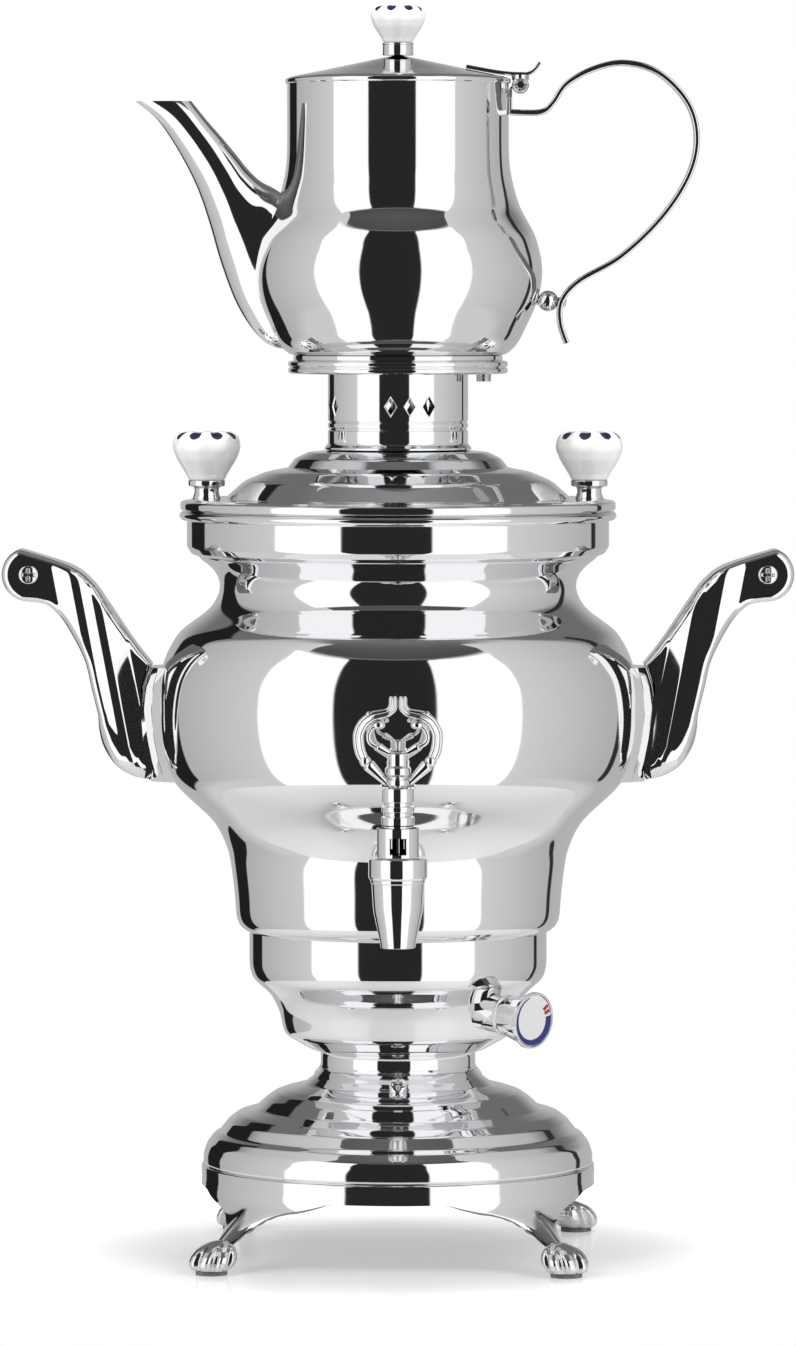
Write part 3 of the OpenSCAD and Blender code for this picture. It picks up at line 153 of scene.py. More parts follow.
def spline(knots, steps=8):
    """A smooth curve through the knots: on each span a cubic whose end slopes follow the
    neighbours."""
    k = np.asarray(knots, float)
    k = np.concatenate([k[:1], k, k[-1:]])
    t = (np.arange(steps) / steps)[None, :, None]
    a, b, c, d = (k[i : len(k) - 3 + i][:, None] for i in range(4))
    spans = 0.5 * (2 * b + (c - a) * t + (2 * a - 5 * b + 4 * c - d) * t**2
                   + (3 * b - a - 3 * c + d) * t**3)
    return np.concatenate([spans.reshape(-1, k.shape[1]), k[-1:]])


def radius_at(profile, z):
    """Radius of a profile (r, z), whose heights rise, at the heights z."""
    return np.interp(z, profile[:, 1], profile[:, 0])


def bell(off, width):
    """One at nought, falling off on both sides as a bell curve of that width."""
    return np.exp(-((off / width) ** 2))


def leftward(path, closed=False):
    """Unit normals of a flat path, towards its left side."""
    if closed:
        along = np.roll(path, -1, 0) - np.roll(path, 1, 0)
    else:
        along = np.gradient(path, axis=0)
    u = unit(along)
    return np.stack([-u[:, 1], u[:, 0]], 1)


def wall(path, thickness):
    """The closed outline of a sheet: the path, and back along it moved to its left by the
    thickness."""
    inner = path + leftward(path) * thickness
    inner[:, 0] = np.maximum(inner[:, 0], 0)
    inner[[0, -1]] = np.where(path[[0, -1], :1] < POLE, inner[[0, -1]] * [0, 1], inner[[0, -1]])
    return np.concatenate([path, inner[::-1]])


# ---- Surfaces: (points, faces) on a grid of two parameters ----


def surface(grid, wrap_rows=False, wrap_columns=False):
    """Four-sided faces between neighbouring points of a grid, joined round where it wraps."""
    rows, columns = grid.shape[:2]
    i = np.arange(rows if wrap_rows else rows - 1)[:, None]
    j = np.arange(columns if wrap_columns else columns - 1)[None]
    i2, j2 = (i + 1) % rows, (j + 1) % columns
    faces = np.stack([i * columns + j, i * columns + j2, i2 * columns + j2, i2 * columns + j], -1)
    return grid.reshape(-1, 3), faces.reshape(-1, 4)


def around(r, turn, h):
    """Points at radius r, turn (in radians) and height h, which may be numbers or arrays."""
    return np.stack(np.broadcast_arrays(r * np.cos(turn), r * np.sin(turn), h), -1)


def lathe(profile, turns=TURNS):
    """Carries a profile (r, h) round the axis: x = r cos t, y = r sin t, z = h."""
    t = ring_points(turns)
    grid = around(profile[:, :1], t, profile[:, 1:])
    open_at_poles = profile[0, 0] < POLE and profile[-1, 0] < POLE
    return surface(grid, not open_at_poles, True)


def solid(profile, turns=FEW_TURNS):
    """A turned solid: the profile with its two ends drawn in to the axis."""
    profile = np.concatenate([profile[:1] * [0, 1], profile, profile[-1:] * [0, 1]])
    return lathe(profile, turns)


def turning(corners, arcs=6, step=1.2, turns=FEW_TURNS):
    """A hollow turned part: the closed outline through the corners, carried round the axis."""
    return lathe(dense(rounded(corners, arcs, True), step), turns)


def closed_ends(grid):
    """The rows of a grid with each end row drawn in to its middle."""
    first, last = (np.repeat(row[None].mean(1, keepdims=True), grid.shape[1], 1)
                   for row in (grid[0], grid[-1]))
    return surface(np.concatenate([first, grid, last]), False, True)


def sweep(path, section, side=(0, 1, 0)):
    """Carries a section along a path. Each section point (a, b) lies a along the path's normal and
    b along the side direction; the section may change along the path. Both ends are closed."""
    path = np.asarray(path, float)
    side = np.array(side, float)
    normal = unit(np.cross(side, unit(np.gradient(path, axis=0))))
    section = np.broadcast_to(section, (len(path),) + np.shape(section)[-2:])
    return closed_ends(path[:, None] + section[..., :1] * normal[:, None] + section[..., 1:] * side)


def ring_points(count):
    """Angles of a closed ring of points."""
    return np.arange(count) * 2 * math.pi / count


def circle(count):
    """A round section of radius one."""
    angle = ring_points(count)
    return np.stack([np.cos(angle), np.sin(angle)], 1)


def rounded_bar(width, thickness, edge, steps=5):
    """Section of a flat bar: width along the normal, thickness along the side, edges rounded."""
    w, t = width / 2, thickness / 2
    corners = [(w, -t, edge), (w, t, edge), (-w, t, edge), (-w, -t, edge)]
    return dense(rounded(corners, steps, True), 1.0)


def in_plane(path):
    """A path (x, z) as points of the plane y = 0."""
    path = np.asarray(path, float)
    return np.stack([path[:, 0], np.zeros(len(path)), path[:, 1]], 1)


def cone(a, b, radius_a, radius_b, steps=40):
    """A round bar from a to b in the X-Z plane whose radius runs evenly from one end's to the
    other's, with ends rounded over a quarter circle."""
    t = np.linspace(0, 1, 24)
    near_end = np.clip(np.minimum(t, 1 - t) / 0.14, 0, 1)
    ends = np.sqrt(np.clip(1 - (1 - near_end) ** 2, 0.02, 1))
    radius = (radius_a + (radius_b - radius_a) * t) * ends
    path = in_plane(np.array(a) + (np.array(b) - np.array(a)) * t[:, None])
    return sweep(path, radius[:, None, None] * circle(steps))


def ball(centre, radii, rows=20, columns=32):
    """An ellipsoid: the centre plus each radius times the sphere's cosines and sines."""
    v = np.linspace(-math.pi / 2, math.pi / 2, rows)[:, None]
    u = ring_points(columns)[None]
    grid = np.stack([np.cos(v) * np.cos(u), np.cos(v) * np.sin(u), np.sin(v) + 0 * u], -1)
    return surface(grid * np.array(radii) + np.array(centre), False, True)


def shifted(shape, x=0.0, y=0.0, z=0.0):
    """The surface moved along the axes."""
    return shape[0] + np.array([x, y, z]), shape[1]


def mirrored(shape, axis):
    """The surface seen in a mirror on one axis's plane."""
    flip = np.ones(3)
    flip[axis] = -1
    return shape[0] * flip, shape[1]


def turned(shape, degrees):
    """The surface turned about the Z axis."""
    c, s = math.cos(math.radians(degrees)), math.sin(math.radians(degrees))
    return shape[0] @ np.array([[c, s, 0], [-s, c, 0], [0, 0, 1]]), shape[1]


def aimed(shape, origin, axis):
    """The surface with its own Z along the axis and its Y as near to up as it can be."""
    z = unit(axis)
    x = unit(np.cross((0, 0, 1), z))
    y = np.cross(z, x)
    return shape[0] @ np.stack([x, y, z]) + np.array(origin), shape[1]


def joined(shapes):
    """Several surfaces as one."""
    counts = np.cumsum([0] + [len(s[0]) for s in shapes[:-1]])
    faces = [s[1] + n for s, n in zip(shapes, counts)]
    return np.concatenate([s[0] for s in shapes]), np.concatenate(faces)


def piece(name, shapes, nodes=(), body="root", slot="chrome", crease=38, finish=None):
    """Puts surfaces into a mesh, merges seams and poles, turns faces outwards, gives it its finish,
    hangs it under its body and hides the frame's nodes that it replaces."""
    points, faces = joined(shapes)
    mesh = bpy.data.meshes.new(name)
    mesh.from_pydata((points * MM).tolist(), [], faces.tolist())
    work = bmesh.new()
    work.from_mesh(mesh)
    bmesh.ops.remove_doubles(work, verts=work.verts, dist=2e-7)
    bmesh.ops.dissolve_degenerate(work, edges=work.edges, dist=1e-8)
    bmesh.ops.recalc_face_normals(work, faces=work.faces)
    work.to_mesh(mesh)
    work.free()
    mesh.shade_smooth()
    mesh.set_sharp_from_angle(angle=math.radians(crease))
    made = bpy.data.objects.new(name, mesh)
    bpy.context.scene.collection.objects.link(made)
    made.data.materials.append(material(finish or slot))
    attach(made, body)
    if nodes:
        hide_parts(*nodes)
    return made


# ---- Finishes ----


class Graph:
    """A short way to write a node tree."""

    def __init__(self, tree):
        self.tree = tree
        tree.nodes.clear()

    def add(self, kind, inputs=None, **settings):
        """Adds a node, sets it up, and links or fills the inputs given by name or number."""
        node = self.tree.nodes.new("ShaderNode" + kind)
        for key, value in settings.items():
            setattr(node, key, value)
        for key, value in (inputs or {}).items():
            if isinstance(value, bpy.types.NodeSocket):
                self.tree.links.new(value, node.inputs[key])
            else:
                node.inputs[key].default_value = value
        return node

    def math(self, operation, *values):
        """One step of arithmetic."""
        return self.add("Math", dict(enumerate(values)), operation=operation).outputs[0]

    def ranged(self, value, low, high, to_low=0.0, to_high=1.0, smooth=False):
        """The value carried from one range to another, held at its ends."""
        kind = "SMOOTHSTEP" if smooth else "LINEAR"
        inputs = {0: value, 1: low, 2: high, 3: to_low, 4: to_high}
        return self.add("MapRange", inputs, interpolation_type=kind, clamp=True).outputs[0]

    def noise(self, scale, detail=3.0, stretch=(1, 1, 1)):
        """Noise on Object coordinates, scale in waves per metre."""
        where = self.add("TexCoord").outputs["Object"]
        where = self.add("Mapping", {"Vector": where, "Scale": stretch}).outputs[0]
        inputs = {"Vector": where, "Scale": scale, "Detail": detail}
        return self.add("TexNoise", inputs).outputs["Fac"]

    def blend(self, share, first, second):
        """A number between two."""
        return self.add("Mix", {0: share, 2: first, 3: second}).outputs[0]

    def mix(self, share, *ends):
        """A colour between two, each of them a socket or three numbers."""
        ends = [end if isinstance(end, bpy.types.NodeSocket) else (*end[:3], 1.0) for end in ends]
        return self.add("Mix", {0: share, 6: ends[0], 7: ends[1]}, data_type="RGBA").outputs[2]

    def relief(self, height, distance):
        """Bump of that depth in metres."""
        inputs = {"Height": height, "Strength": 1.0, "Distance": distance}
        return self.add("Bump", inputs).outputs[0]

    def painted(self, shade, **values):
        """The Principled shader, with its constant values on its own sockets."""
        inputs = {key.replace("_", " ").title(): value for key, value in values.items()}
        shader = self.add("BsdfPrincipled", {"Base Color": shade, **inputs})
        self.add("OutputMaterial", {"Surface": shader.outputs[0]})


def dimmed(colour, share):
    """A share of a colour."""
    return [value * share for value in colour]


def chrome(graph, finish):
    """Polished plate: a faint haze and the slow swell that spinning leaves in the sheet."""
    ends = finish.chrome_haze * 0.7, finish.chrome_haze * 1.3
    haze = graph.ranged(graph.noise(55, 4.0), 0.35, 0.7, *ends)
    shade = graph.mix(graph.noise(9), finish.chrome, dimmed(finish.chrome, 0.985))
    swell = graph.relief(graph.noise(26, 1.0), 6e-6)
    graph.painted(shade, metallic=1.0, roughness=haze, normal=swell)


def porcelain(graph, finish):
    """White glaze with painted petals: a point's petal value is above zero inside a petal."""
    petal = graph.add("Attribute", attribute_name="petal").outputs["Fac"]
    brush = graph.math("ADD", petal, graph.ranged(graph.noise(900, 2.0), 0.2, 0.8, -0.12, 0.12))
    glaze = graph.mix(graph.noise(120), finish.porcelain, dimmed(finish.porcelain, 0.975))
    ink = graph.mix(graph.ranged(petal, 0.0, 0.9), finish.petal, (0.008, 0.008, 0.03))
    shade = graph.mix(graph.ranged(brush, -0.04, 0.04), glaze, ink)
    swell = graph.relief(graph.noise(160, 2.0), 1.5e-5)
    graph.painted(shade, roughness=0.16, coat_weight=0.6, coat_roughness=0.05, normal=swell)


def grained(graph, finish, waves, detail, first, second, rough, bump=0.0, stretch=(1, 1, 1),
            **fixed):
    """A finish whose colour, roughness and relief follow one noise. The first colour may be the
    name of a setting, and the second is then a share of it."""
    grain = graph.noise(waves, detail, stretch)
    if isinstance(first, str):
        first = getattr(finish, first)
        second = dimmed(first, second)
    if isinstance(rough, tuple):
        rough = graph.ranged(grain, 0.3, 0.7, *rough)
    if bump:
        fixed["normal"] = graph.relief(grain, bump)
    graph.painted(graph.mix(grain, first, second), roughness=rough, **fixed)


# In their order: turned steel, the element's oxidised sheath, dulled brass, unglazed ceramic, tan
# heat-proof moulding, black moulded plastic, the dial's lacquer, its two inks, and dusty rubber
GRAINED = {
    "steel": dict(waves=900, detail=3, stretch=(0.25, 0.25, 4), first="steel", second=0.86,
                  rough=(0.26, 0.4), bump=1.2e-5, metallic=1.0),
    "element_sheath": dict(waves=60, detail=4, first=(0.20, 0.17, 0.16), second=(0.42, 0.36, 0.31),
                           rough=(0.4, 0.62), metallic=0.8),
    "brass": dict(waves=500, detail=3, stretch=(0.3, 0.3, 3), first=(0.82, 0.62, 0.30),
                  second=(0.72, 0.52, 0.24), rough=(0.18, 0.32), metallic=1.0),
    "steatite": dict(waves=1800, detail=4, first=(0.78, 0.76, 0.70), second=(0.70, 0.67, 0.61),
                     rough=0.75, bump=4e-5),
    "moulding": dict(waves=1500, detail=3, first=(0.46, 0.30, 0.15), second=(0.38, 0.24, 0.12),
                     rough=(0.42, 0.58), bump=3e-5),
    "gland_plastic": dict(waves=2600, detail=3, first=(0.012, 0.012, 0.013),
                          second=(0.022, 0.022, 0.023), rough=(0.42, 0.6), bump=4e-5),
    "dial_face": dict(waves=1200, detail=3, first="dial", second=0.94, rough=0.38, bump=1e-5,
                      coat_weight=0.25, coat_roughness=0.2),
    "dial_ink": dict(waves=1400, detail=3, first="scale", second=0.8, rough=(0.35, 0.45)),
    "dial_red": dict(waves=1400, detail=3, first="hot", second=0.8, rough=(0.35, 0.45)),
    "rubber": dict(waves=700, detail=4, first=(0.15, 0.15, 0.153), second=(0.22, 0.22, 0.223),
                   rough=(0.55, 0.75), bump=3e-5),
}


def material(name):
    """The finish of that name, made when it is first asked for."""
    found = bpy.data.materials.get("samovar_" + name)
    if found is None:
        found = bpy.data.materials.new("samovar_" + name)
        found.use_nodes = True
        graph, finish = Graph(found.node_tree), bpy.context.scene.samovar_finishes
        if name in GRAINED:
            grained(graph, finish, **GRAINED[name])
        else:
            {"chrome": chrome, "porcelain": porcelain}[name](graph, finish)
    return found


class SamovarSizes(bpy.types.PropertyGroup):
    """Sizes of the details that the frame's solids leave out."""

    wall: bpy.props.FloatProperty(
        name="Sheet", description="Thickness of the spun sheet, in millimetres",
        default=1.2, min=0.6, max=2.0)
    keel: bpy.props.FloatProperty(
        name="Leg keel", description="How far the keel stands out of a leg, in millimetres",
        default=1.6, min=0.0, max=3.0)
    toe_groove: bpy.props.FloatProperty(
        name="Toe groove",
        description="Depth of the grooves between two toes, as a share of the paw's radius",
        default=0.24, min=0.0, max=0.4, subtype="FACTOR")
    petals: bpy.props.IntProperty(
        name="Petals", description="Number of petals round a porcelain knob",
        default=8, min=5, max=12)
    vent_bevel: bpy.props.FloatProperty(
        name="Vent bevel", description="Width of the bevel round a diamond vent, in millimetres",
        default=0.55, min=0.0, max=1.0)
    horn_edge: bpy.props.FloatProperty(
        name="Horn edge", description="Radius of a horn handle's edges, in millimetres",
        default=3.2, min=1.0, max=4.0)
    horn_swell: bpy.props.FloatProperty(
        name="Horn swell", description="Rise of the swell in a horn's face, in millimetres",
        default=1.9, min=0.0, max=3.0)
    camera_distance: bpy.props.FloatProperty(
        name="Camera distance", description="Distance of the camera in front of the samovar's axis",
        default=2.85, min=1.0, max=6.0, unit="LENGTH")


class SamovarFinishes(bpy.types.PropertyGroup):
    """Colours of the finishes and levels of the studio."""

    chrome: bpy.props.FloatVectorProperty(
        name="Chrome", description="Colour of the polished plate", subtype="COLOR",
        default=(0.86, 0.865, 0.875), min=0, max=1)
    chrome_haze: bpy.props.FloatProperty(
        name="Haze", description="Mean roughness of the polished plate",
        default=0.045, min=0, max=0.3, subtype="FACTOR")
    steel: bpy.props.FloatVectorProperty(
        name="Steel", description="Colour of the plain steel parts", subtype="COLOR",
        default=(0.56, 0.56, 0.57), min=0, max=1)
    porcelain: bpy.props.FloatVectorProperty(
        name="Porcelain", description="Colour of the knobs' glaze", subtype="COLOR",
        default=(0.94, 0.935, 0.93), min=0, max=1)
    petal: bpy.props.FloatVectorProperty(
        name="Petals", description="Colour of the painted petals", subtype="COLOR",
        default=(0.020, 0.022, 0.11), min=0, max=1)
    dial: bpy.props.FloatVectorProperty(
        name="Dial", description="Colour of the thermostat's face", subtype="COLOR",
        default=(0.74, 0.74, 0.75), min=0, max=1)
    scale: bpy.props.FloatVectorProperty(
        name="Scale", description="Colour of the thermostat's scale", subtype="COLOR",
        default=(0.017, 0.023, 0.19), min=0, max=1)
    hot: bpy.props.FloatVectorProperty(
        name="Hot marks", description="Colour of the marks at the scale's hot end", subtype="COLOR",
        default=(0.36, 0.025, 0.022), min=0, max=1)
    softbox: bpy.props.FloatProperty(
        name="Softboxes", description="Brightness of the two softboxes", default=1.20, min=0, max=4)
    surround: bpy.props.FloatProperty(
        name="Surround", description="Brightness of the pale walls round the table",
        default=0.52, min=0, max=2)
    ceiling: bpy.props.FloatProperty(
        name="Ceiling", description="Brightness of the dim ceiling", default=0.15, min=0, max=2)


# ---- Base ----

# The ring's radius, the first leg's turn, a paw's distance from the axis and a pad's thickness
RING_R, LEG_TURN, PAW_R, PAD_H = 78.8, 42.0, 98.6, 1.6
# Height of the foot ring's lower edge at an angle from the middle of a leg
SKIRT_EDGE = np.array([
    (0.0, 8.0), (2.4, 9.5), (3.0, 12.0), (4.2, 15.5), (5.8, 18.2), (8.0, 20.8), (10.7, 22.6),
    (14.5, 24.2), (19.0, 25.4), (23.0, 26.6), (26.7, 28.1), (31.0, 28.5), (45.0, 28.5),
])
# How far a leg stands out of the ring at a height
LEG_FLARE = np.array([
    (7.0, 19.0), (9.0, 17.6), (12.0, 14.8), (15.0, 11.4), (18.2, 7.8), (20.5, 5.0), (22.8, 2.8),
    (25.5, 1.0), (28.0, 0.2), (31.0, 0.0),
])
# Outline of the stepped dome, in heights above the ring's top
DOME_PATH = [
    (77.3, -0.1), (78.1, 0.7, 0.3), (78.0, 4.4, 10), (76.6, 8.3, 6), (73.9, 11.7, 1.6),
    (71.7, 12.9, 0.5), (68.2, 17.4, 2.5), (64.6, 20.1, 3), (57.3, 22.3, 0.5), (53.0, 26.2, 3),
    (49.4, 28.7, 3), (45.4, 30.1, 4), (37.6, 32.1, 1.0), (34.2, 34.8, 3), (31.2, 38.0),
]
# The dome screws' height, the lean of their axes, and how far their heads stand out
SCREW_Z, SCREW_LEAN, SCREW_RISE = 70.5, math.radians(52), 1.0


def skirt(keel, thickness=2.0, rows=44, columns=84):
    """Foot ring and legs as one sheet. Its parameters are the angle from a leg and the share of the
    way from the ring's top to its lower edge; the radius is the ring's plus the leg's flare at that
    height, plus a keel that falls off with the angle as a bell curve. The inner side lies a wall's
    thickness behind along the surface's normal. Towards the lower edge the sheet curls back by a
    power of the share of the leg's width."""
    u = np.arange(columns) / columns * 2 - 1
    a = 45 * (0.16 * u + 0.84 * u**3)
    low = np.interp(np.abs(a), *SKIRT_EDGE.T)
    t = np.concatenate([[0, 0.01, 0.02, 0.032], np.linspace(0.05, 1, rows - 4)])[:, None]
    z = Z_DOME - t * (Z_DOME - low)
    flare = np.interp(z, *softened(LEG_FLARE, 0.8, 0.3).T)
    on_leg = np.clip((25 - z) / 5, 0, 1) * np.clip((z - 8) / 4, 0, 1)
    ridge = keel * bell(a, 1.9) * on_leg
    reach = np.maximum(np.interp(z, SKIRT_EDGE[:, 1], SKIRT_EDGE[:, 0]), 1)
    curl = 2.4 * np.clip((25 - z) / 7, 0, 1) ** 1.3 * np.clip(np.abs(a) / reach, 0, 1) ** 2.2
    r = RING_R + flare + ridge - curl - 0.6 * np.clip(1 - (Z_DOME - z) / 0.8, 0, 1) ** 2
    angle = np.radians(a + LEG_TURN)
    grid = around(r, angle, z)
    points = grid.reshape(-1, 3)
    quarters = [turned((points, None), 90 * k)[0].reshape(grid.shape) for k in range(4)]
    grid = np.concatenate(quarters, 1)
    down = np.gradient(grid, axis=0)
    across = np.roll(grid, -1, 1) - np.roll(grid, 1, 1)
    normal = unit(np.cross(down, across))
    normal = normal * np.sign((normal * grid * [1, 1, 0]).sum(-1, keepdims=True))
    inner = grid - normal * thickness
    inner[0, :, 2] = Z_DOME
    inner[..., 2] = np.maximum(inner[..., 2], PAD_H + 2)
    return surface(np.concatenate([grid, inner[::-1]]), True, True)


def paw(groove, rows=56, columns=144):
    """A lion's paw about its own upright axis, toes towards +X. Its parameters are the angle round
    it and the height. The outline is an oval, longer over the toes; the side rises as a dome that
    leans back to the ankle; four toes come from grooves whose depth falls off quickly with the
    angle, and the heel is a ball behind."""
    v = np.linspace(0, 1, rows)[:, None]
    phi = np.linspace(-math.pi, math.pi, columns, endpoint=False)[None]
    degrees = np.degrees(phi)
    side = np.interp(v, [0, 0.05, 0.16, 0.34, 0.52, 0.70, 0.84, 0.93, 1.0],
                     [0.72, 0.84, 0.95, 1.00, 0.97, 0.86, 0.68, 0.50, 0.30])
    front = 0.5 + 0.5 * np.cos(phi)
    reach = 9.4 * front + 8.2 * (1 - front)
    grooves = sum(bell(degrees - g, 9.5) for g in (-96, -48, 0, 48, 96))
    depth = groove * grooves * np.clip((1 - v) * 2.2, 0, 1) * np.clip(v * 5 + 0.5, 0, 1)
    heel = 0.10 * bell(np.abs(degrees) - 180, 45) * bell(v - 0.42, 0.25)
    waist = 0.16 * bell(np.abs(degrees) - 125, 13) * np.clip((1 - v) * 2, 0, 1)
    share = side * (1 - depth + heel - waist)
    lean = -4.6 * v**1.6
    x = reach * np.cos(phi) * share + lean
    grid = np.stack([x, 10.2 * np.sin(phi) * share, 11.2 * v + 0 * phi], -1)
    bottom = np.repeat(grid[:1].mean(1, keepdims=True), columns, 1)
    top = np.repeat(grid[-1:].mean(1, keepdims=True), columns, 1) + [0, 0, 0.4]
    return surface(np.concatenate([bottom, grid, top]), False, True)


def cross_screw(radius, height, slot, rows=28, columns=128):
    """A screw head: a low dome over the disc, sunk by a cross whose arms are the slot's width."""
    s = np.linspace(0, 1, rows)[:, None]
    angle = ring_points(columns)[None]
    x, y = radius * s * np.cos(angle), radius * s * np.sin(angle)
    arm = np.minimum(np.abs(x), np.abs(y))
    reach = np.maximum(np.abs(x), np.abs(y))
    sunk = 1 / (1 + np.exp((arm - slot / 2) / 0.07)) / (1 + np.exp((reach - radius * 0.62) / 0.1))
    dome = 1 - 0.42 * s**2 - 0.5 * np.clip((s - 0.86) / 0.14, 0, 1) ** 2
    z = height * (dome - sunk * 0.62)
    top = np.stack([x, y, z], -1)
    foot = top[-1:] * [1, 1, 0] - [0, 0, 0.6]
    base = foot * [0, 0, 1]
    return surface(np.concatenate([top, foot, base]), False, True)


class SAMOVAR_OT_base(bpy.types.Operator):
    """Builds the foot ring with its legs, the paws, the stepped dome, its screws and the neck
    ring"""

    bl_idname = "samovar.base"
    bl_label = "Base"

    def execute(self, context):
        sizes = context.scene.samovar_sizes
        piece("ring_and_legs", [skirt(sizes.keel)], ["foot_ring"], crease=50)
        foot = shifted(paw(sizes.toe_groove), PAW_R, 0, PAD_H)
        paws = [turned(foot, LEG_TURN + 90 * k) for k in range(4)]
        piece("lion_paws", paws, ["paw_feet"], crease=60)
        dome = softened(rounded(lifted(DOME_PATH, Z_DOME)), 0.35, 0.35)
        piece("stepped_dome", [lathe(wall(dome, sizes.wall))], ["base_dome"])
        neck = rounded([(31, Z_NECK), (31.5, Z_NECK + 1, 0.5), (31, Z_NECK + 2, 0.5),
                        (31, Z_HOUSING - 1), (31.6, Z_HOUSING)])
        piece("neck_band", [lathe(wall(dense(neck), 2.0))], ["neck_ring"])
        axis = np.array([math.sin(SCREW_LEAN), 0, math.cos(SCREW_LEAN)])
        at = np.array([radius_at(dome, SCREW_Z), 0, SCREW_Z]) + axis * SCREW_RISE
        screw = cross_screw(3.5, 1.3, 0.9), solid(np.array([(1.5, -5.0), (1.5, 0.2)]), 32)
        screws = [turned(aimed(part, at, axis), turn) for turn in (-90, 30, 150) for part in screw]
        piece("dome_screw_heads", screws, ["dome_screws"], crease=45)
        return {"FINISHED"}


# ---- Heater section ----

# Outline of the housing, in heights above its foot
HOUSING_PATH = [
    (3.2, 0), (34, 0), (45.6, 6.6, 4), (47.6, 16, 12), (50.8, 22.4, 10), (58.4, 29.2, 4),
    (59.6, 34, 4), (59.6, 48),
]
# The thermostat's turn to the right and dip, how far out along its axis the knob's back lies, and
# the radius and height of the point that the axis passes through
KNOB_TURN, KNOB_DIP, KNOB_BACK, KNOB_LOW_R, KNOB_Z = 46.0, 4.0, 58.8, 47.6, 100.5
FACE_H = 15.62       # height of the dial's face over the knob's back


def dial_axis():
    """Where the thermostat's axis starts, and its direction outwards, dipping a little."""
    turn, dip = math.radians(KNOB_TURN - 90), math.radians(KNOB_DIP)
    out = np.array([math.cos(turn), math.sin(turn), 0])
    axis = out * math.cos(dip) - np.array([0, 0, math.sin(dip)])
    return out * KNOB_LOW_R + [0, 0, KNOB_Z] - axis * KNOB_LOW_R, axis


def scale_arc(radius, height, steps=120):
    """The scale: a flat band along the face's edge. Its angle runs clockwise from just above three
    o'clock, and its width falls from the widest at the right to a hair at the upper left."""
    t = np.linspace(0, 1, steps)[:, None]
    angle = np.radians(9 - 262 * t)
    width = np.interp(t, [0, 0.12, 0.36, 0.62, 0.8, 1], [2.9, 2.8, 2.3, 1.3, 0.85, 0.35])
    across = np.array([0, 0, 1, 1])[None] * width
    z = np.array([0, 0.06, 0.06, 0])[None]
    r = radius - across
    return surface(around(r, angle, height + z), False, True)


def mark(radius, height, degrees, length=3.0, width=1.5):
    """A radial bar on the face: a thin box whose long side points at the axis."""
    bar = rounded_bar(width, 0.06, 0.02, 1)
    c, s = math.cos(math.radians(degrees)), math.sin(math.radians(degrees))
    path = np.array([(c, s, 0)]) * np.array([[radius], [radius - length]]) + [0, 0, height + 0.03]
    return sweep(path, bar, (0, 0, 1))


class SAMOVAR_OT_heater(bpy.types.Operator):
    """Builds the heater housing and the thermostat knob with its face and scale"""

    bl_idname = "samovar.heater"
    bl_label = "Heater housing and knob"

    def execute(self, context):
        housing = softened(rounded(lifted(HOUSING_PATH, Z_HOUSING)), 1.1)
        shell = lathe(wall(housing, context.scene.samovar_sizes.wall))
        piece("waisted_housing", [shell], ["heater_housing"])
        cup = [(3.1, 0), (8.0, 0, 0.5), (8.2, 1.2, 0.4), (7.6, 1.6, 0.3), (10.5, 14.0, 0.6),
               (11.2, 14.3, 0.4), (11.2, 15.9, 0.5), (10.4, 16.0, 0.3), (10.3, 14.8), (3.1, 14.8)]
        face = rounded([(0, 14.9), (10.1, 14.9), (10.1, 15.5, 0.3), (9.1, 15.65, 1), (0, 15.7)])
        origin, axis = dial_axis()
        for name, shapes, node, slot, more in (
            ("dial_cup", [turning(cup, step=0.8)], ["thermostat_knob"], "chrome", {}),
            ("dial_plate", [lathe(dense(face), FEW_TURNS)], ["dial_insert"], "dial_face", {}),
            ("dial_scale", [scale_arc(9.8, FACE_H)], (), "dial_face",
             {"crease": 30, "finish": "dial_ink"}),
            ("dial_hot_marks", [mark(9.6, FACE_H, turn) for turn in (36, 22)], (), "dial_face",
             {"crease": 30, "finish": "dial_red"}),
        ):
            shapes = [aimed(shape, origin + axis * KNOB_BACK, axis) for shape in shapes]
            piece(name, shapes, node, "thermostat_dial", slot, **more)
        return {"FINISHED"}


# ---- Tank ----

# Radius and height of the tank's outer side, from its foot over the belly and the waist to the
# mouth
TANK_KNOTS = [
    (60.2, Z_TANK), (62.6, 131.2), (64.2, 133.6), (64.9, 137.0), (65.3, 143.0), (66.1, 150.4),
    (67.5, 160.0), (69.1, 165.0), (71.1, 169.6), (74.2, 174.4), (79.0, 179.2), (84.3, 184.0),
    (88.2, 188.0), (90.8, 191.5), (92.6, 195.5), (94.1, 200.5), (95.2, 206.0), (95.9, 212.0),
    (96.2, 219.0), (95.9, 226.0), (95.2, 232.0), (94.0, 237.0), (92.3, 241.6), (90.5, 245.0),
    (88.2, 248.8), (85.6, 251.4), (82.4, 253.8), (79.0, 256.2), (76.2, 258.4), (74.2, 260.6),
    (72.7, 263.0), (71.6, 265.6), (71.15, 268.0), (71.6, 270.8), (73.0, 273.8), (75.2, 276.2),
    (77.7, 278.2), (80.1, 279.9), (80.4, 282.5), (80.4, 289.0), (80.4, Z_MOUTH),
]
# Outline of the collar's section, in heights above the mouth
COLLAR_LOOP = [
    (80.45, -15.0), (78.6, -17.0), (82.6, -15.3, 1.2), (84.4, -12.6, 2), (84.4, -2.0, 0.3),
    (86.3, -1.9, 0.5), (87.8, -0.2, 1.6), (86.4, 1.6, 1.2), (80.45, 1.6),
]


def tank_profile():
    """The tank's outer side as one smooth curve."""
    return softened(spline(TANK_KNOTS), 1.4, 1.5)


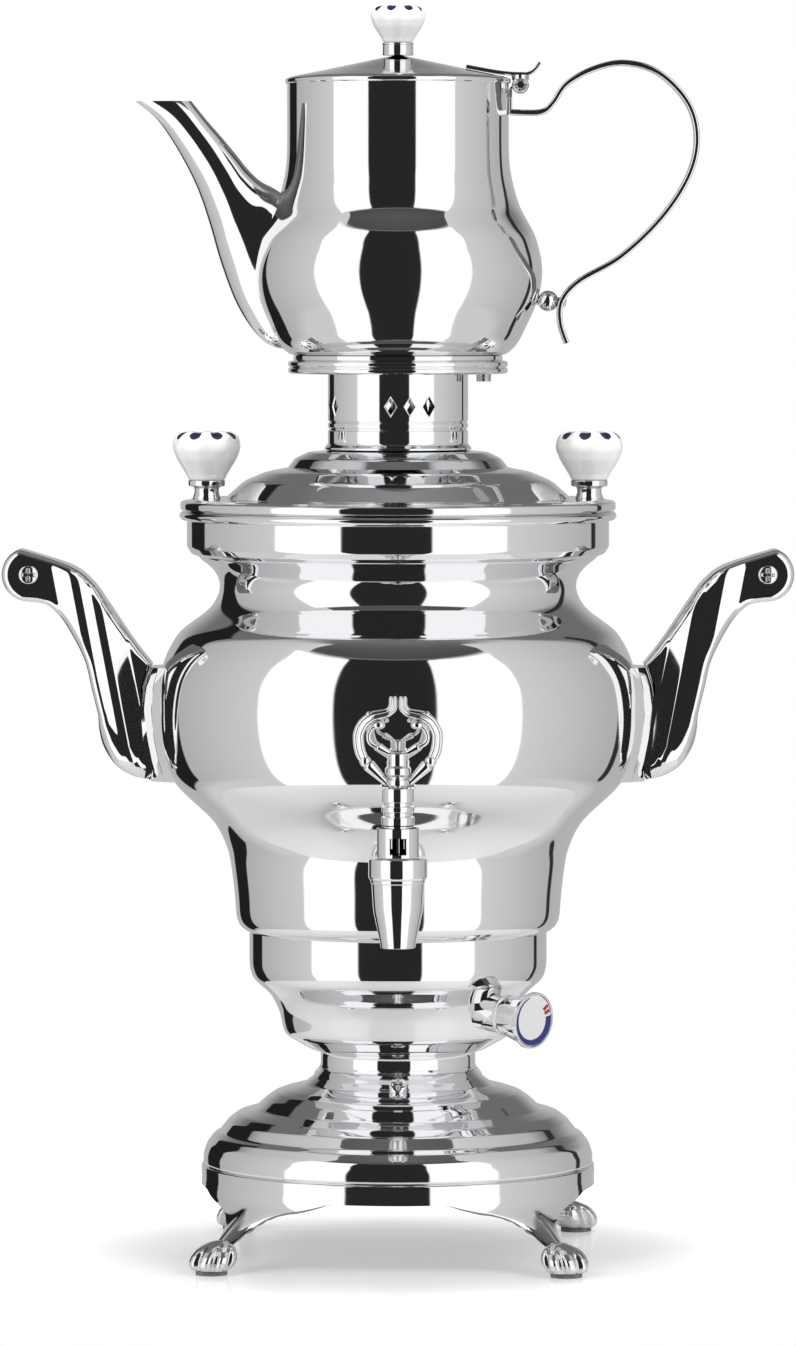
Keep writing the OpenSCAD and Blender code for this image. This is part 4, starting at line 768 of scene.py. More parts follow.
class SAMOVAR_OT_tank(bpy.types.Operator):
    """Builds the tank's shell and the collar band round its mouth"""

    bl_idname = "samovar.tank"
    bl_label = "Tank and collar"

    def execute(self, context):
        wall_mm = context.scene.samovar_sizes.wall
        piece("tank_body", [lathe(wall(tank_profile(), wall_mm))], ["tank_shell"])
        piece("collar", [turning(lifted(COLLAR_LOOP, Z_MOUTH), 8, 0.9, TURNS)], ["collar_band"])
        return {"FINISHED"}


# ---- Horn handles ----

# The horn's reach and rise, the belly's widest place that they start from, and the horn's thickness
HORN_REACH, HORN_RISE, BELLY_R, BELLY_Z, HORN_T = 61.8, 62.8, 96.4, 221.0, 29.0
# Middle and radius of the round tip
HORN_END, HORN_END_R = np.array([147.4, 273.0]), 10.8
# Height of the horn's face over its widest at distances from the samovar's axis, for a swell of one
HORN_FACE = np.array([
    (80, -2.2), (106.6, -2.2), (114.2, -0.55), (117.2, -0.55), (121.6, 0.0), (124.4, 0.0),
    (131.6, -1.3), (180, -1.3),
])
# The slopes' sideways shift for each millimetre above a height
HORN_SLANT, SLANT_Z = 0.19, 240.0
# Where the roll starts, what it adds to the rim's radius, and that radius along the tank
ROLL_TOP, ROLL_FADE, ROLL_WIDTH, TANK_RIM = 216.0, 11.0, 5.4, 0.4
# The upper edge, the lower edge and the roll below it, in shares of the reach and the rise
HORN_TOP = [
    (0.56, 0.885), (0.42, 0.785), (0.325, 0.66), (0.225, 0.515), (0.13, 0.38), (0.03, 0.255),
]
HORN_UNDER = [
    (0.715, 0.64), (0.635, 0.575), (0.565, 0.48), (0.465, 0.29), (0.42, 0.11), (0.375, -0.07),
]
HORN_ROLL = [(0.375, -0.14), (0.35, -0.26), (0.27, -0.385), (0.16, -0.455), (0.03, -0.48)]
# The horn's end at the tank, as radius and height
PAD_FACE = [
    (98.3, 237.0), (101.4, 228.0), (102.4, 219.0), (100.9, 207.0), (98.4, 195.3), (98.2, 190.9),
]


def horn_points(shares):
    """Shares of the horn's reach and rise as points, outwards and up from the belly's widest
    place."""
    return np.array(shares) * [HORN_REACH, HORN_RISE] + [BELLY_R, BELLY_Z]


def horn_rails(count):
    """The horn's upper and lower edges from the round tip to the tank, as equally many points."""
    def arc(start, end):
        """Points of the round tip, from one angle to another."""
        angle = np.radians(np.linspace(start, end, 16))[:, None]
        return HORN_END + HORN_END_R * np.concatenate([np.cos(angle), np.sin(angle)], 1)

    top = spline(np.concatenate([arc(70, 70)[:1], horn_points(HORN_TOP)]))
    upper = np.concatenate([arc(-10, 66), top])
    under = spline(np.concatenate([arc(-90, -90)[:1], horn_points(HORN_UNDER)]))
    lower = np.concatenate([arc(-10, -86), under, spline(horn_points(HORN_ROLL))])
    return softened(evenly(upper, count), 0.9, 0.4), softened(evenly(lower, count), 0.9, 0.4)


def horn_half(edge, swell, count=170, across=24):
    """Front half of the right horn. A ribbon between two rails gives its face: one parameter runs
    from the tip to the tank, the other from the upper rail to the lower. Its rim is the rails moved
    inwards and forwards on a quarter circle, which is wider along the roll below and sharp at the
    tank. The face's depth follows slopes and flats of the distance from the samovar's axis, which
    slant with z."""
    upper, lower = (evenly(rail, count) for rail in horn_rails(count))
    lower[0] = upper[0]
    end = evenly(np.array(PAD_FACE), across + 1)
    way = np.linspace(0, 1, across + 1)[:, None]
    end = end + (1 - way) * (upper[-1] - end[0]) + way * (lower[-1] - end[-1])
    loop = np.concatenate([upper, end[1:-1], lower[:0:-1]])
    normal = -leftward(loop, True)
    if (normal * (loop.mean(0) - loop)).sum() < 0:
        normal = -normal
    below = np.clip((ROLL_TOP - loop[:, 1]) / ROLL_FADE, 0, 1)
    below = below * (np.arange(len(loop)) >= count + across - 1)
    below = np.convolve(np.pad(below, 6, "edge"), np.ones(13) / 13, "valid")
    at_tank = np.zeros(len(loop))
    at_tank[count - 1 : count + across] = 1
    at_tank = np.convolve(np.pad(at_tank, 13, "wrap"), np.ones(27) / 27, "valid")
    rim = (edge + ROLL_WIDTH * below) * (1 - at_tank) + TANK_RIM * at_tank

    fine = np.arange(80, 180, 0.1)
    slopes = np.interp(fine, HORN_FACE[:, 0], HORN_FACE[:, 1] * swell)
    slopes = softened(np.stack([fine, slopes], 1), 0.32, 0.1)

    def depth(x, z):
        """Height of the face over the plane between the two halves."""
        return HORN_T / 2 + np.interp(x - HORN_SLANT * (z - SLANT_Z), slopes[:, 0], slopes[:, 1])

    rings = []
    for turn in np.radians(np.linspace(0, 90, 11)):
        ring = loop + normal * (rim * (1 - math.cos(turn)))[:, None]
        y = -(depth(*ring.T) + rim * (math.sin(turn) - 1))
        rings.append(np.stack([ring[:, 0], y, ring[:, 1]], 1))
    back = np.stack([loop[:, 0], np.full(len(loop), -0.02), loop[:, 1]], 1)
    skin = surface(np.stack([back] + rings), False, True)

    def ribbon(ring, y):
        """Fills a loop by carrying points straight across from the upper rail to the lower."""
        t = np.linspace(0, 1, across + 1)[None, :, None]
        s = (np.arange(count) / (count - 1))[:, None, None]
        a = ring[:count, None]
        b = np.concatenate([ring[:1], ring[: count + across - 2 : -1]])[:, None]
        last = np.concatenate([ring[count - 1 : count + across - 1], b[-1]])[None]
        flat = a + (b - a) * t
        flat = flat + s**5 * (last - flat[-1:])
        return surface(np.stack([flat[..., 0], y(flat[..., 0], flat[..., 1]), flat[..., 1]], -1))

    face = ribbon(loop + normal * rim[:, None], lambda x, z: -depth(x, z))
    rear = ribbon(loop, lambda x, z: 0 * x - 0.02)
    return joined([skin, face, rear])


def saddle(tank, rows=30):
    """The right horn's seat on the belly. Its rows are heights; each row is a loop that slants from
    the tank's side inwards to the horn's end in two steps, and closes inside the tank's wall."""
    z = np.linspace(190.3, 235.9, rows)
    face = np.array(PAD_FACE)[::-1]
    out = np.interp(z, face[:, 1], face[:, 0]) + 0.4
    half = np.array([9.0, 9.0, 13.2, 14.0, 17.6, 17.6])
    on_tank = np.sqrt(radius_at(tank, z)[:, None] ** 2 - half[None] ** 2)
    share = np.array([1.0, 1.0, 0.46, 0.44, 0.0, 0.0])
    x = on_tank - 0.5 + (out[:, None] - on_tank + 0.5) * share
    x[:, 5] -= 2.4
    grid = np.stack(np.broadcast_arrays(x, -half, z[:, None]), -1)
    grid = np.concatenate([grid, grid[:, ::-1] * [1, -1, 1]], 1)
    return closed_ends(grid)


class SAMOVAR_OT_handles(bpy.types.Operator):
    """Builds the two horn handles, each of a front and a rear half, and the screws in their ends"""

    bl_idname = "samovar.handles"
    bl_label = "Horn handles"

    def execute(self, context):
        sizes = context.scene.samovar_sizes
        front = horn_half(sizes.horn_edge, sizes.horn_swell)
        for name, half in (("front", front), ("rear", mirrored(front, 1))):
            piece(f"right_horn_{name}", [half], [f"right_handle_{name}"], crease=50)
            piece(f"left_horn_{name}", [mirrored(half, 0)], [f"left_handle_{name}"], crease=50)
        seat = saddle(tank_profile())
        piece("right_saddle", [seat], ["right_bracket"], crease=25)
        piece("left_saddle", [mirrored(seat, 0)], ["left_bracket"], crease=25)
        y = HORN_T / 2 - 1.3 * sizes.horn_swell
        x, z = HORN_END
        head = aimed(cross_screw(3.8, 1.7, 1.1), (x, -y, z), (0, -1, 0))
        stud = solid(np.array([(3.6, -0.6), (3.8, 0.2), (3.4, 1.0)]), 48)
        rear = aimed(stud, (x, y, z), (0, 1, 0))
        screws = [head, rear, mirrored(head, 0), mirrored(rear, 0)]
        piece("horn_screws", screws, ["handle_screws"], crease=45)
        return {"FINISHED"}


# ---- Tap ----

# The tap's upright axis, its arm's height, and the heights at which its parts begin
TAP_Y, TAP_Z, TAP_FLANGE_Z = -115.072, 164.3, 159.7
TAP_LOW_Z, TAP_BONNET_Z, TAP_KEY_Z = 168.5, 179.5, 195.5
# Outlines of the tap's turned parts (radius, height, rounding), over the heights above; the arm's
# and the rosette's count from the samovar's axis
TAP_FLANGE = [
    (5.2, 0), (11.0, 0, 0.5), (11.4, 1.0, 0.5), (11.4, 7.8, 0.9), (10.4, 8.8, 0.6), (4.6, 8.8),
    (4.6, 1.5),
]
TAP_CAP = [(2.3, -2), (8.0, -2), (8.25, -0.6, 0.4), (7.8, 0, 0.4), (2.3, 0)]
TAP_ARM = [(3.5, 54.0), (5.5, 54.0), (5.5, 104.5), (5.5, 106.5), (3.5, 106.5)]
TAP_ROSETTE = [
    (5.8, 63.0), (10.8, 63.0), (10.8, 71.6, 0.8), (9.4, 73.2, 1.2), (7.2, 73.6, 0.8),
    (6.6, 74.4, 0.4), (5.8, 74.4),
]
TAP_BONNET = [
    (2.3, 0), (6.0, 0), (6.0, 0.8), (6.4, 1.2, 0.2), (6.4, 4.2, 0.3), (5.6, 4.8), (5.6, 5.8),
    (6.4, 6.4, 0.3), (6.4, 8.2, 0.3), (5.7, 8.8), (5.7, 9.6), (6.4, 10.2, 0.3), (6.4, 15.2, 0.7),
    (5.6, 16), (2.3, 16),
]
TAP_NOZZLE = [
    (5.2, -26.5), (6.6, -26.5, 0.3), (7.4, -22.5, 8), (9.6, -12, 30), (10.2, -2.4, 6), (10.2, -1.6),
    (10.6, -1.2, 0.3), (10.6, -0.02), (5.2, -0.02),
]
KEY_HUB = [
    (2.3, 0), (4.4, 0, 0.4), (4.4, 2.2, 0.4), (3.7, 3.0, 0.5), (5.0, 4.4, 0.4), (5.0, 6.8, 0.4),
    (4.1, 7.8, 0.4), (4.1, 12.2, 0.8), (3.0, 13.2, 0.6), (0, 13.4),
]


def windowed_tube(outer, inner, low, high, half_width, window):
    """A tube about Z with a window towards -Y: two grids of angle and height, one for each side of
    the wall, without the faces inside the window, and flat strips between the two round every
    edge."""
    edge = math.degrees(math.asin(half_width / outer))
    angles = np.radians(np.concatenate([
        -90 + np.linspace(-edge, edge, 9)[:-1], -90 + np.linspace(edge, 360 - edge, 80)[:-1]]))
    heights = np.unique(np.concatenate([np.linspace(low, high, 8), window]))
    inside = (heights[:-1] >= window[0] - 1e-6) & (heights[1:] <= window[1] + 1e-6)
    first, last = np.nonzero(inside)[0][[0, -1]]

    shapes = []
    for radius in (outer, inner):
        points, faces = surface(around(radius, angles[None], heights[:, None]), False, True)
        keep = ~(inside[:, None] & (np.arange(len(angles)) < 8)[None]).reshape(-1)
        shapes.append((points, faces[keep]))
    sides = np.array([[outer], [inner]])
    for rise in (heights[0], heights[-1]):
        shapes.append(surface(around(sides, angles, rise), False, True))
    for rise in (heights[first], heights[last + 1]):
        shapes.append(surface(around(sides, angles[:9], rise)))
    for turn in (angles[0], angles[8]):
        shapes.append(surface(around(sides, turn, heights[first : last + 2])))
    return joined(shapes)


def key_section(width, depth, groove=0.36, count=40):
    """Section of the key's double rib: an oval with squared sides, sunk along its middle by a bell
    curve."""
    angle = ring_points(count)
    a = width / 2 * np.cos(angle)
    b = depth / 2 * np.sign(np.sin(angle)) * np.abs(np.sin(angle)) ** 0.7
    return np.stack([a, b * (1 - groove * bell(a, width * 0.13))], 1)


def key_half():
    """Left half of the tap's key: a ribbed bar that curls from the prong into the outer arc, a
    lobe, an inner rib, and two cones that run in to the hub."""
    bar = evenly(spline([
        (-1.95, 230.3), (-1.95, 226.6), (-3.6, 224.2), (-6.6, 223.3), (-9.6, 222.5), (-12.9, 220.2),
        (-14.9, 216.6), (-15.2, 213.4), (-14.6, 209.2), (-12.9, 205.3)]), 110)
    width = np.interp(np.linspace(0, 1, 110), [0, 0.03, 0.2, 0.34, 0.6, 0.92, 1],
                      [2.4, 3.3, 3.4, 3.8, 4.3, 4.3, 3.4])
    rib = evenly(spline([
        (-7.4, 219.0), (-9.9, 218.0), (-11.3, 215.4), (-10.9, 212.6), (-8.6, 210.9)]), 40)
    return [
        sweep(in_plane(bar), np.stack([key_section(w, 3.6) for w in width])),
        sweep(in_plane(rib), 0.95 * circle(24)),
        ball((-7.4, 0, 219.1), (2.5, 1.9, 1.65)),
        ball((-10.9, 0, 223.3), (1.5, 1.5, 1.2)),
        cone((-12.2, 204.7), (-3.2, 195.7), 2.75, 1.1),
        cone((-8.3, 211.1), (-1.8, 207.4), 1.95, 0.9),
        ball((-12.6, 0, 205.2), (2.3, 2.1, 2.3)),
    ]


class SAMOVAR_OT_tap(bpy.types.Operator):
    """Builds the tap: arm, body with its window, rosette, bonnet, nozzle and key"""

    bl_idname = "samovar.tap"
    bl_label = "Tap"

    def execute(self, context):
        def upright(shapes):
            """The shapes moved to the tap's own axis."""
            return [shifted(shape, y=TAP_Y) for shape in shapes]

        def outwards(corners, arcs, step):
            """A turned part whose axis runs from the samovar's out to the tap."""
            return aimed(turning(corners, arcs, step), (0, 0, TAP_Z), (0, -1, 0))

        window = TAP_LOW_Z + 1.0, TAP_LOW_Z + 7.4
        body = [turning(lifted(TAP_FLANGE, TAP_FLANGE_Z)),
                windowed_tube(8.25, 5.6, TAP_LOW_Z, TAP_BONNET_Z, 3.2, window),
                turning(lifted(TAP_CAP, TAP_BONNET_Z), 4)]
        piece("tap_housing", upright(body) + [outwards(TAP_ARM, 4, 3.0)], ["tap_body"])
        piece("arm_rosette", [outwards(TAP_ROSETTE, 6, 1.2)], ["tap_rosette"])
        bonnet = turning(lifted(TAP_BONNET, TAP_BONNET_Z), 4, 0.8)
        piece("tap_gland_nut", upright([bonnet]), ["tap_bonnet"])
        nozzle = turning(lifted(TAP_NOZZLE, TAP_FLANGE_Z), 10, 0.8)
        piece("tap_outlet", upright([nozzle]), ["tap_nozzle"])
        half = joined(key_half())
        hub = solid(dense(rounded(lifted(KEY_HUB, TAP_KEY_Z + 0.3), 5), 0.8))
        key = upright([half, mirrored(half, 0), hub])
        piece("key", key, ["tap_key"], "tap_handle", crease=45)
        return {"FINISHED"}


# ---- Lid and porcelain knobs ----

# Outline of the lid in heights above its margin: the rolled rim, the raised dome, the seat of the
# crown
LID_RIM = [
    (85.0, -4.78), (85.6, -4.3), (87.0, -4.3, 1.3), (87.0, -0.8, 1.3), (84.0, -0.6, 0.6), (82.8, 0),
]
LID_DOME = [(82.8, 0), (69.4, 0.1, 1.2), (61.5, 7.2, 12), (53.0, 10.8, 16), (44.0, 12.6)]
LID_SEAT = [(44.0, 12.6), (41.2, 16.2, 3), (36.0, 18.7, 5), (26.0, 19.7), (26.0, 22.7)]
# The ring under the lid that centres it in the mouth
LID_SKIRT = np.array([
    (78.6, Z_MOUTH - 8), (78.6, Z_COLLAR + 0.6), (84.0, Z_COLLAR + 0.6), (84.0, Z_COLLAR + 0.1),
    (77.6, Z_COLLAR + 0.1), (77.6, Z_MOUTH - 8),
])
# The lid's knobs: distance from the axis, radius and height; then the teapot's knob
LID_KNOB_X, LID_KNOB_R, LID_KNOB_H, POT_KNOB_R, POT_KNOB_H = 76.5, 13.7, 19.5, 11.0, 15.0
# Outlines of the knobs' metal stems
LID_STEM = [
    (5.7, 0, 0.2), (5.5, 0.8, 0.3), (4.8, 2.6, 4), (5.0, 4.6, 1), (7.3, 5.2, 0.4), (7.4, 7.2, 0.2),
    (7.1, 7.5),
]
POT_STEM = [
    (6.3, 0, 0.2), (6.1, 0.6, 0.3), (6.05, 4.1, 0.2), (6.35, 4.4, 0.2), (6.3, 4.9, 0.1), (6.1, 5.0),
]


def knob(radius, height, petals, phase, columns=240):
    """A porcelain knob about Z: the turned profile, whose radius and height near the shoulder rise
    and fall with the petals' number of waves round it."""
    profile = dense(rounded([
        (0, 0), (radius * 0.52, 0, 1), (radius * 0.60, height * 0.12, 3),
        (radius * 0.87, height * 0.43, 10), (radius, height * 0.66, 7),
        (radius * 0.92, height * 0.88, 4), (radius * 0.70, height * 0.985, 4),
        (0, height * 0.975)]), 0.35)
    share = np.clip((profile[:, 1:] / height - 0.5) / 0.4, 0, 1)
    share = share * np.clip(profile[:, :1] / radius * 1.6 - 0.3, 0, 1)
    angle = ring_points(columns)[None]
    wave = np.cos(petals * (angle - math.radians(phase)))
    r = profile[:, :1] * (1 - 0.016 * share * wave)
    z = profile[:, 1:] - 0.50 * share * wave * np.clip(profile[:, :1] / radius * 2 - 0.5, 0, 1)
    return surface(around(r, angle, z), False, True)


def ferrule(profile):
    """A knob's metal stem about Z, from its outer profile and the bore for its stud."""
    return turning([(1.6, 0), *profile, (1.6, profile[-1][1])], 5, 0.5)


def paint_petals(made, centres, radius, height, petals):
    """Marks the petals on a knob: at each point one, less the squared distances from the nearest
    petal's middle round the knob and over its shoulder, each as a share of the petal's half
    size."""
    co = np.empty(len(made.data.vertices) * 3, np.float32)
    made.data.vertices.foreach_get("co", co)
    co = co.reshape(-1, 3) / MM
    value = np.full(len(co), -9.0)
    for x, z, phase in centres:
        near = np.abs(co[:, 0] - x) < radius * 1.2
        r = np.hypot(co[:, 0] - x, co[:, 1])
        turn = np.degrees(np.arctan2(co[:, 1], co[:, 0] - x)) - phase
        pitch = 360 / petals
        off = np.radians((turn + pitch / 2) % pitch - pitch / 2)
        over = ((co[:, 2] - z) / height - 0.66) / 0.34 + 1 - r / radius
        petal = 1 - (off / 0.22) ** 2 - ((over - 1.06) / 0.44) ** 2
        petal = np.where(co[:, 2] - z > height * 0.7, petal, -1)
        value = np.where(near, petal, value)
    attribute = made.data.attributes.new("petal", "FLOAT", "POINT")
    attribute.data.foreach_set("value", value.astype(np.float32))


def porcelain_knobs(name, places, radius, height, z, node, body):
    """Makes the knobs at places (x, turn of the petals) and paints their petals."""
    petals = bpy.context.scene.samovar_sizes.petals
    shapes = [shifted(knob(radius, height, petals, phase), x, 0, z) for x, phase in places]
    made = piece(name, shapes, [node], body, "porcelain", crease=60)
    paint_petals(made, [(x, z, phase) for x, phase in places], radius, height, petals)


class SAMOVAR_OT_lid(bpy.types.Operator):
    """Builds the tank's lid, its two porcelain knobs and their ferrules"""

    bl_idname = "samovar.lid"
    bl_label = "Lid and knobs"

    def execute(self, context):
        rim, dome, seat = (rounded(lifted(path, Z_MARGIN), steps)
                           for path, steps in ((LID_RIM, 8), (LID_DOME, 10), (LID_SEAT, 8)))
        cover = dense(np.concatenate([rim[:-1], dome[:-1], seat]), 0.9)
        piece("lid_cover", [lathe(wall(cover, 1.0)), lathe(LID_SKIRT)], ["lid_shell"], "lid")
        stem_top = Z_MARGIN + LID_STEM[-1][1]
        porcelain_knobs("lid_porcelain", [(-LID_KNOB_X, 22.5), (LID_KNOB_X, 35.0)], LID_KNOB_R,
                        LID_KNOB_H, stem_top, "lid_knobs", "lid")
        stems = [shifted(ferrule(LID_STEM), x, 0, Z_MARGIN) for x in (-LID_KNOB_X, LID_KNOB_X)]
        piece("lid_knob_stems", stems, ["lid_ferrules"], "lid")
        return {"FINISHED"}


# ---- Crown ----

# The tube's radius; a vent's width, height and rise above the lid; where the first group of vents
# has its middle, and the angle from one vent to the next
CROWN_R, VENT_W, VENT_H, VENT_RISE, VENT_ANGLE, VENT_PITCH = 28.0, 5.4, 8.6, 17.4, -80, 16
# The band of tube that has the vents: its two edges and its rows
BAND_LOW, BAND_HIGH, BAND_ROWS = Z_LID + 11.8, Z_LID + 22.8, 8
# Outer side of the tube below the band of vents, in heights above the lid
CROWN_FOOT = [
    (26.6, 0), (29.4, 0, 0.3), (29.4, 0.8, 0.4), (CROWN_R, 2.4, 2), (CROWN_R, 7.5),
    (CROWN_R - 0.5, 8.0, 0.2), (CROWN_R - 0.5, 8.5, 0.2), (CROWN_R, 9.0), (CROWN_R + 0.1, 9.7, 0.8),
    (CROWN_R, 10.4), (CROWN_R - 0.5, 10.8, 0.2), (CROWN_R - 0.5, 11.2, 0.2), (CROWN_R, 11.6),
    (CROWN_R, 11.8),
]
POT_RING = [
    (24.0, 0), (42.4, 0, 0.3), (43.9, 0.5, 0.8), (43.9, 2.0, 0.8), (43.1, 2.6, 0.2),
    (43.9, 3.2, 0.8), (43.9, 4.8, 0.8), (42.7, 5.2, 0.3), (37.8, 5.2), (37.8, 1.2), (24.0, 1.2),
]


def vent_cell(middle, outer, inner, bevel):
    """The piece of tube round one diamond vent. One parameter runs round the diamond's outline, the
    other from it to the cell's rectangle; on both sides of the wall, with a bevel and a cut between
    them."""
    side = np.linspace(0, 1, 13)[:-1, None]
    corners = np.array([(VENT_W / 2, 0), (0, VENT_H / 2), (-VENT_W / 2, 0), (0, -VENT_H / 2)])
    diamond = np.concatenate([a + (b - a) * side for a, b in zip(corners, np.roll(corners, -1, 0))])
    up = np.linspace(0, 1, BAND_ROWS // 2 + 1)[:-1]
    # The upper half of the rectangle's outline, from its right side's middle to its left side's
    over = np.array([(1, h) for h in up] + [(x, 1) for x in np.linspace(1, -1, VENT_PITCH + 1)]
                    + [(-1, h) for h in up[:0:-1]])
    half = np.array([VENT_PITCH, BAND_HIGH - BAND_LOW]) / 2
    vent_z = Z_LID + VENT_RISE
    box = np.concatenate([over, -over]) * half + [0, (BAND_HIGH + BAND_LOW) / 2 - vent_z]

    def on_tube(points, radius):
        """Points (degrees round from the vent's middle, height over it) rolled onto a tube."""
        return around(radius, np.radians(middle + points[..., 0]), vent_z + points[..., 1])

    share = (np.linspace(0, 1, 7) ** 1.2)[:, None, None]
    wide = diamond * [math.degrees(1 / CROWN_R), 1.0]
    small = wide * (1 - 2 * bevel / VENT_W)
    outside = on_tube(wide + (box - wide) * share, outer)
    inside = on_tube(small + (box - small) * share, inner)
    cut = [on_tube(wide, outer), on_tube(small, outer - bevel * 0.8), on_tube(small, inner)]
    return [surface(grid, False, True) for grid in (outside, inside, np.stack(cut))]


def crown_band(outer, inner, bevel):
    """The band of the crown tube with four groups of three vents, and plain wall between the
    groups."""
    shapes = []
    heights = np.linspace(BAND_LOW, BAND_HIGH, BAND_ROWS + 1)[:, None]
    for group in range(4):
        middle = VENT_ANGLE + 90 * group
        for i in (-1, 0, 1):
            shapes += vent_cell(middle + VENT_PITCH * i, outer, inner, bevel)
        turn = np.radians(np.arange(middle + 24, middle + 67))[None]
        for radius in (outer, inner):
            shapes.append(surface(around(radius, turn, heights)))
    return shapes


def open_lathe(profile):
    """The profile round the axis, one degree at a time, with its two ends left for a neighbour to
    close."""
    t = np.radians(VENT_ANGLE + np.arange(360))
    return surface(around(profile[:, :1], t, profile[:, 1:]), False, True)


class SAMOVAR_OT_crown(bpy.types.Operator):
    """Builds the crown tube with its diamond vents, and the ring that carries the teapot"""

    bl_idname = "samovar.crown"
    bl_label = "Crown"

    def execute(self, context):
        sizes = context.scene.samovar_sizes
        inner = CROWN_R - sizes.wall
        step = Z_LID + 3.6
        low = [(inner, BAND_LOW), (inner, step), (26.6, step), *lifted(CROWN_FOOT, Z_LID)]
        high = [(CROWN_R, BAND_HIGH), (CROWN_R, Z_POT_RING),
                (inner, Z_POT_RING), (inner, BAND_HIGH)]
        tube = [open_lathe(rounded(low)), open_lathe(np.array(high))]
        band = crown_band(CROWN_R, inner, sizes.vent_bevel)
        piece("vented_tube", tube + band, ["crown_tube"], "crown", crease=30)
        rest = turning(lifted(POT_RING, Z_POT_RING), 6, 0.9, TURNS)
        piece("pot_rest", [rest], ["pot_ring"], "crown")
        return {"FINISHED"}


# ---- Teapot ----

# Radius and height of the teapot's outer side
POT_KNOTS = [
    (0, Z_POT_BODY), (30, Z_POT_BODY), (37, Z_POT_BODY), (41.2, 360.25), (43.6, 361.0),
    (46.0, 363.1), (48.2, 365.8), (50.3, 370.0), (52.7, 375.0), (54.9, 380.0), (56.5, 385.0),
    (57.4, 390.0), (57.6, 394.6), (57.1, 399.4), (56.0, 404.0), (54.6, 408.4), (52.0, 413.4),
    (49.2, 418.4), (47.4, 423.2), (46.1, 428.0), (45.0, 433.0), (44.4, 438.5), (44.2, 446.0),
    (44.2, Z_RIM),
]
# Rails of the spout from its mouth to the body: outwards from the axis, and down from the rim
SPOUT_OUTER = [
    (104.8, 6.8), (96.4, 13.8), (89.2, 24), (82.8, 35.6), (78.8, 44.8), (75, 56.4), (70.8, 71),
    (65.2, 86), (59.4, 96.0), (53.6, 102.4), (47.5, 105.6),
]
SPOUT_INNER = [
    (82.4, 6.8), (76.4, 14.2), (70.6, 20.8), (64.4, 28.2), (59.8, 34), (54.9, 38.6), (49.7, 41.4),
    (46.3, 43.6), (45.3, 44.6), (44.9, 45.6),
]
# The neck's radius, the place of the lid's pin, and the ball between the strap and the body
POT_NECK_R, HINGE_X, HINGE_Z, BALL_Z, BALL_D, BALL_X = 44.3, 48.8, 468.0, 382.0, 8.4, 59.84
STRAP_FOOT = BALL_X + BALL_D / 2 + 1.3 - POT_NECK_R
# Middle line of the strap handle: outwards from the neck, and up from the rim
STRAP_LINE = [
    (0.6, -11.2), (12.5, -11.2), (17.3, -7.8), (22.9, 0), (33.7, 6), (46.1, 8.4), (59.7, 4.4),
    (71.3, -7.6), (74.9, -22), (71.3, -37.2), (60.5, -53.6), (44.5, -68.8), (STRAP_FOOT + 7, -78.4),
    (STRAP_FOOT, -86.4), (STRAP_FOOT - 0.6, -95), (STRAP_FOOT + 2, -103.2),
]
POT_FOOT = [(33.8, 0), (41.4, 0, 0.3), (41.8, 0.4, 0.4), (41.8, 2), (33.8, 2)]
# The teapot's lid, the plug under it and the arm to its hinge, in heights above the rim
COVER_PATH = [
    (44.4, 0.02), (45.0, 0.6, 0.5), (45.0, 2.0, 0.9), (42.6, 2.9, 1.2), (30.0, 5.4, 30),
    (1.7, 11.4),
]
PLUG_PATH = [(42.5, -6), (42.5, 0.6), (44.5, 0.6), (44.5, 0.05), (41.5, 0.05), (41.5, -6)]
ARM_LINE = [
    (27.2, 7.0), (33, 5.9), (40, 4.7), (45.5, 4.1), (49.0, 4.0), (52.0, 4.1), (54.6, 5.8),
    (56.6, 8.6),
]


def spout(pot, mouth_half, base_half, thickness, rings=96, sides=72):
    """The spout as rings between two rails. One parameter runs from the mouth to the body, the
    other round the ring: x goes between the rails with the cosine, y is the half width, which grows
    with the way to the power 0.8, times the sine, a little less on the outer side. The base ends
    inside the wall."""
    outer, inner = evenly(spline(SPOUT_OUTER), rings), evenly(spline(SPOUT_INNER), rings)
    way = (np.linspace(0, 1, rings) ** 0.8)[:, None]
    angle = ring_points(sides)[None]
    skins = []
    for inset in (0.0, thickness):
        middle, half = (outer + inner) / 2, (outer - inner) / 2
        half = half * (1 - inset / np.linalg.norm(half, axis=1, keepdims=True))
        x = middle[:, :1] + half[:, :1] * np.cos(angle)
        z = Z_RIM - (middle[:, 1:] + half[:, 1:] * np.cos(angle))
        half_y = mouth_half + (base_half - mouth_half) * way - inset
        y = half_y * np.sin(angle) * (1 - 0.16 * np.cos(angle))
        body = radius_at(pot, z) - 0.6
        on_body = np.sqrt(np.maximum(body**2 - y**2, 0))
        x = np.maximum(x, on_body)
        x[-1] = on_body[-1]
        skins.append(np.stack([-x, y, z], -1))
    return surface(np.concatenate([skins[0], skins[1][::-1]]), True, True)


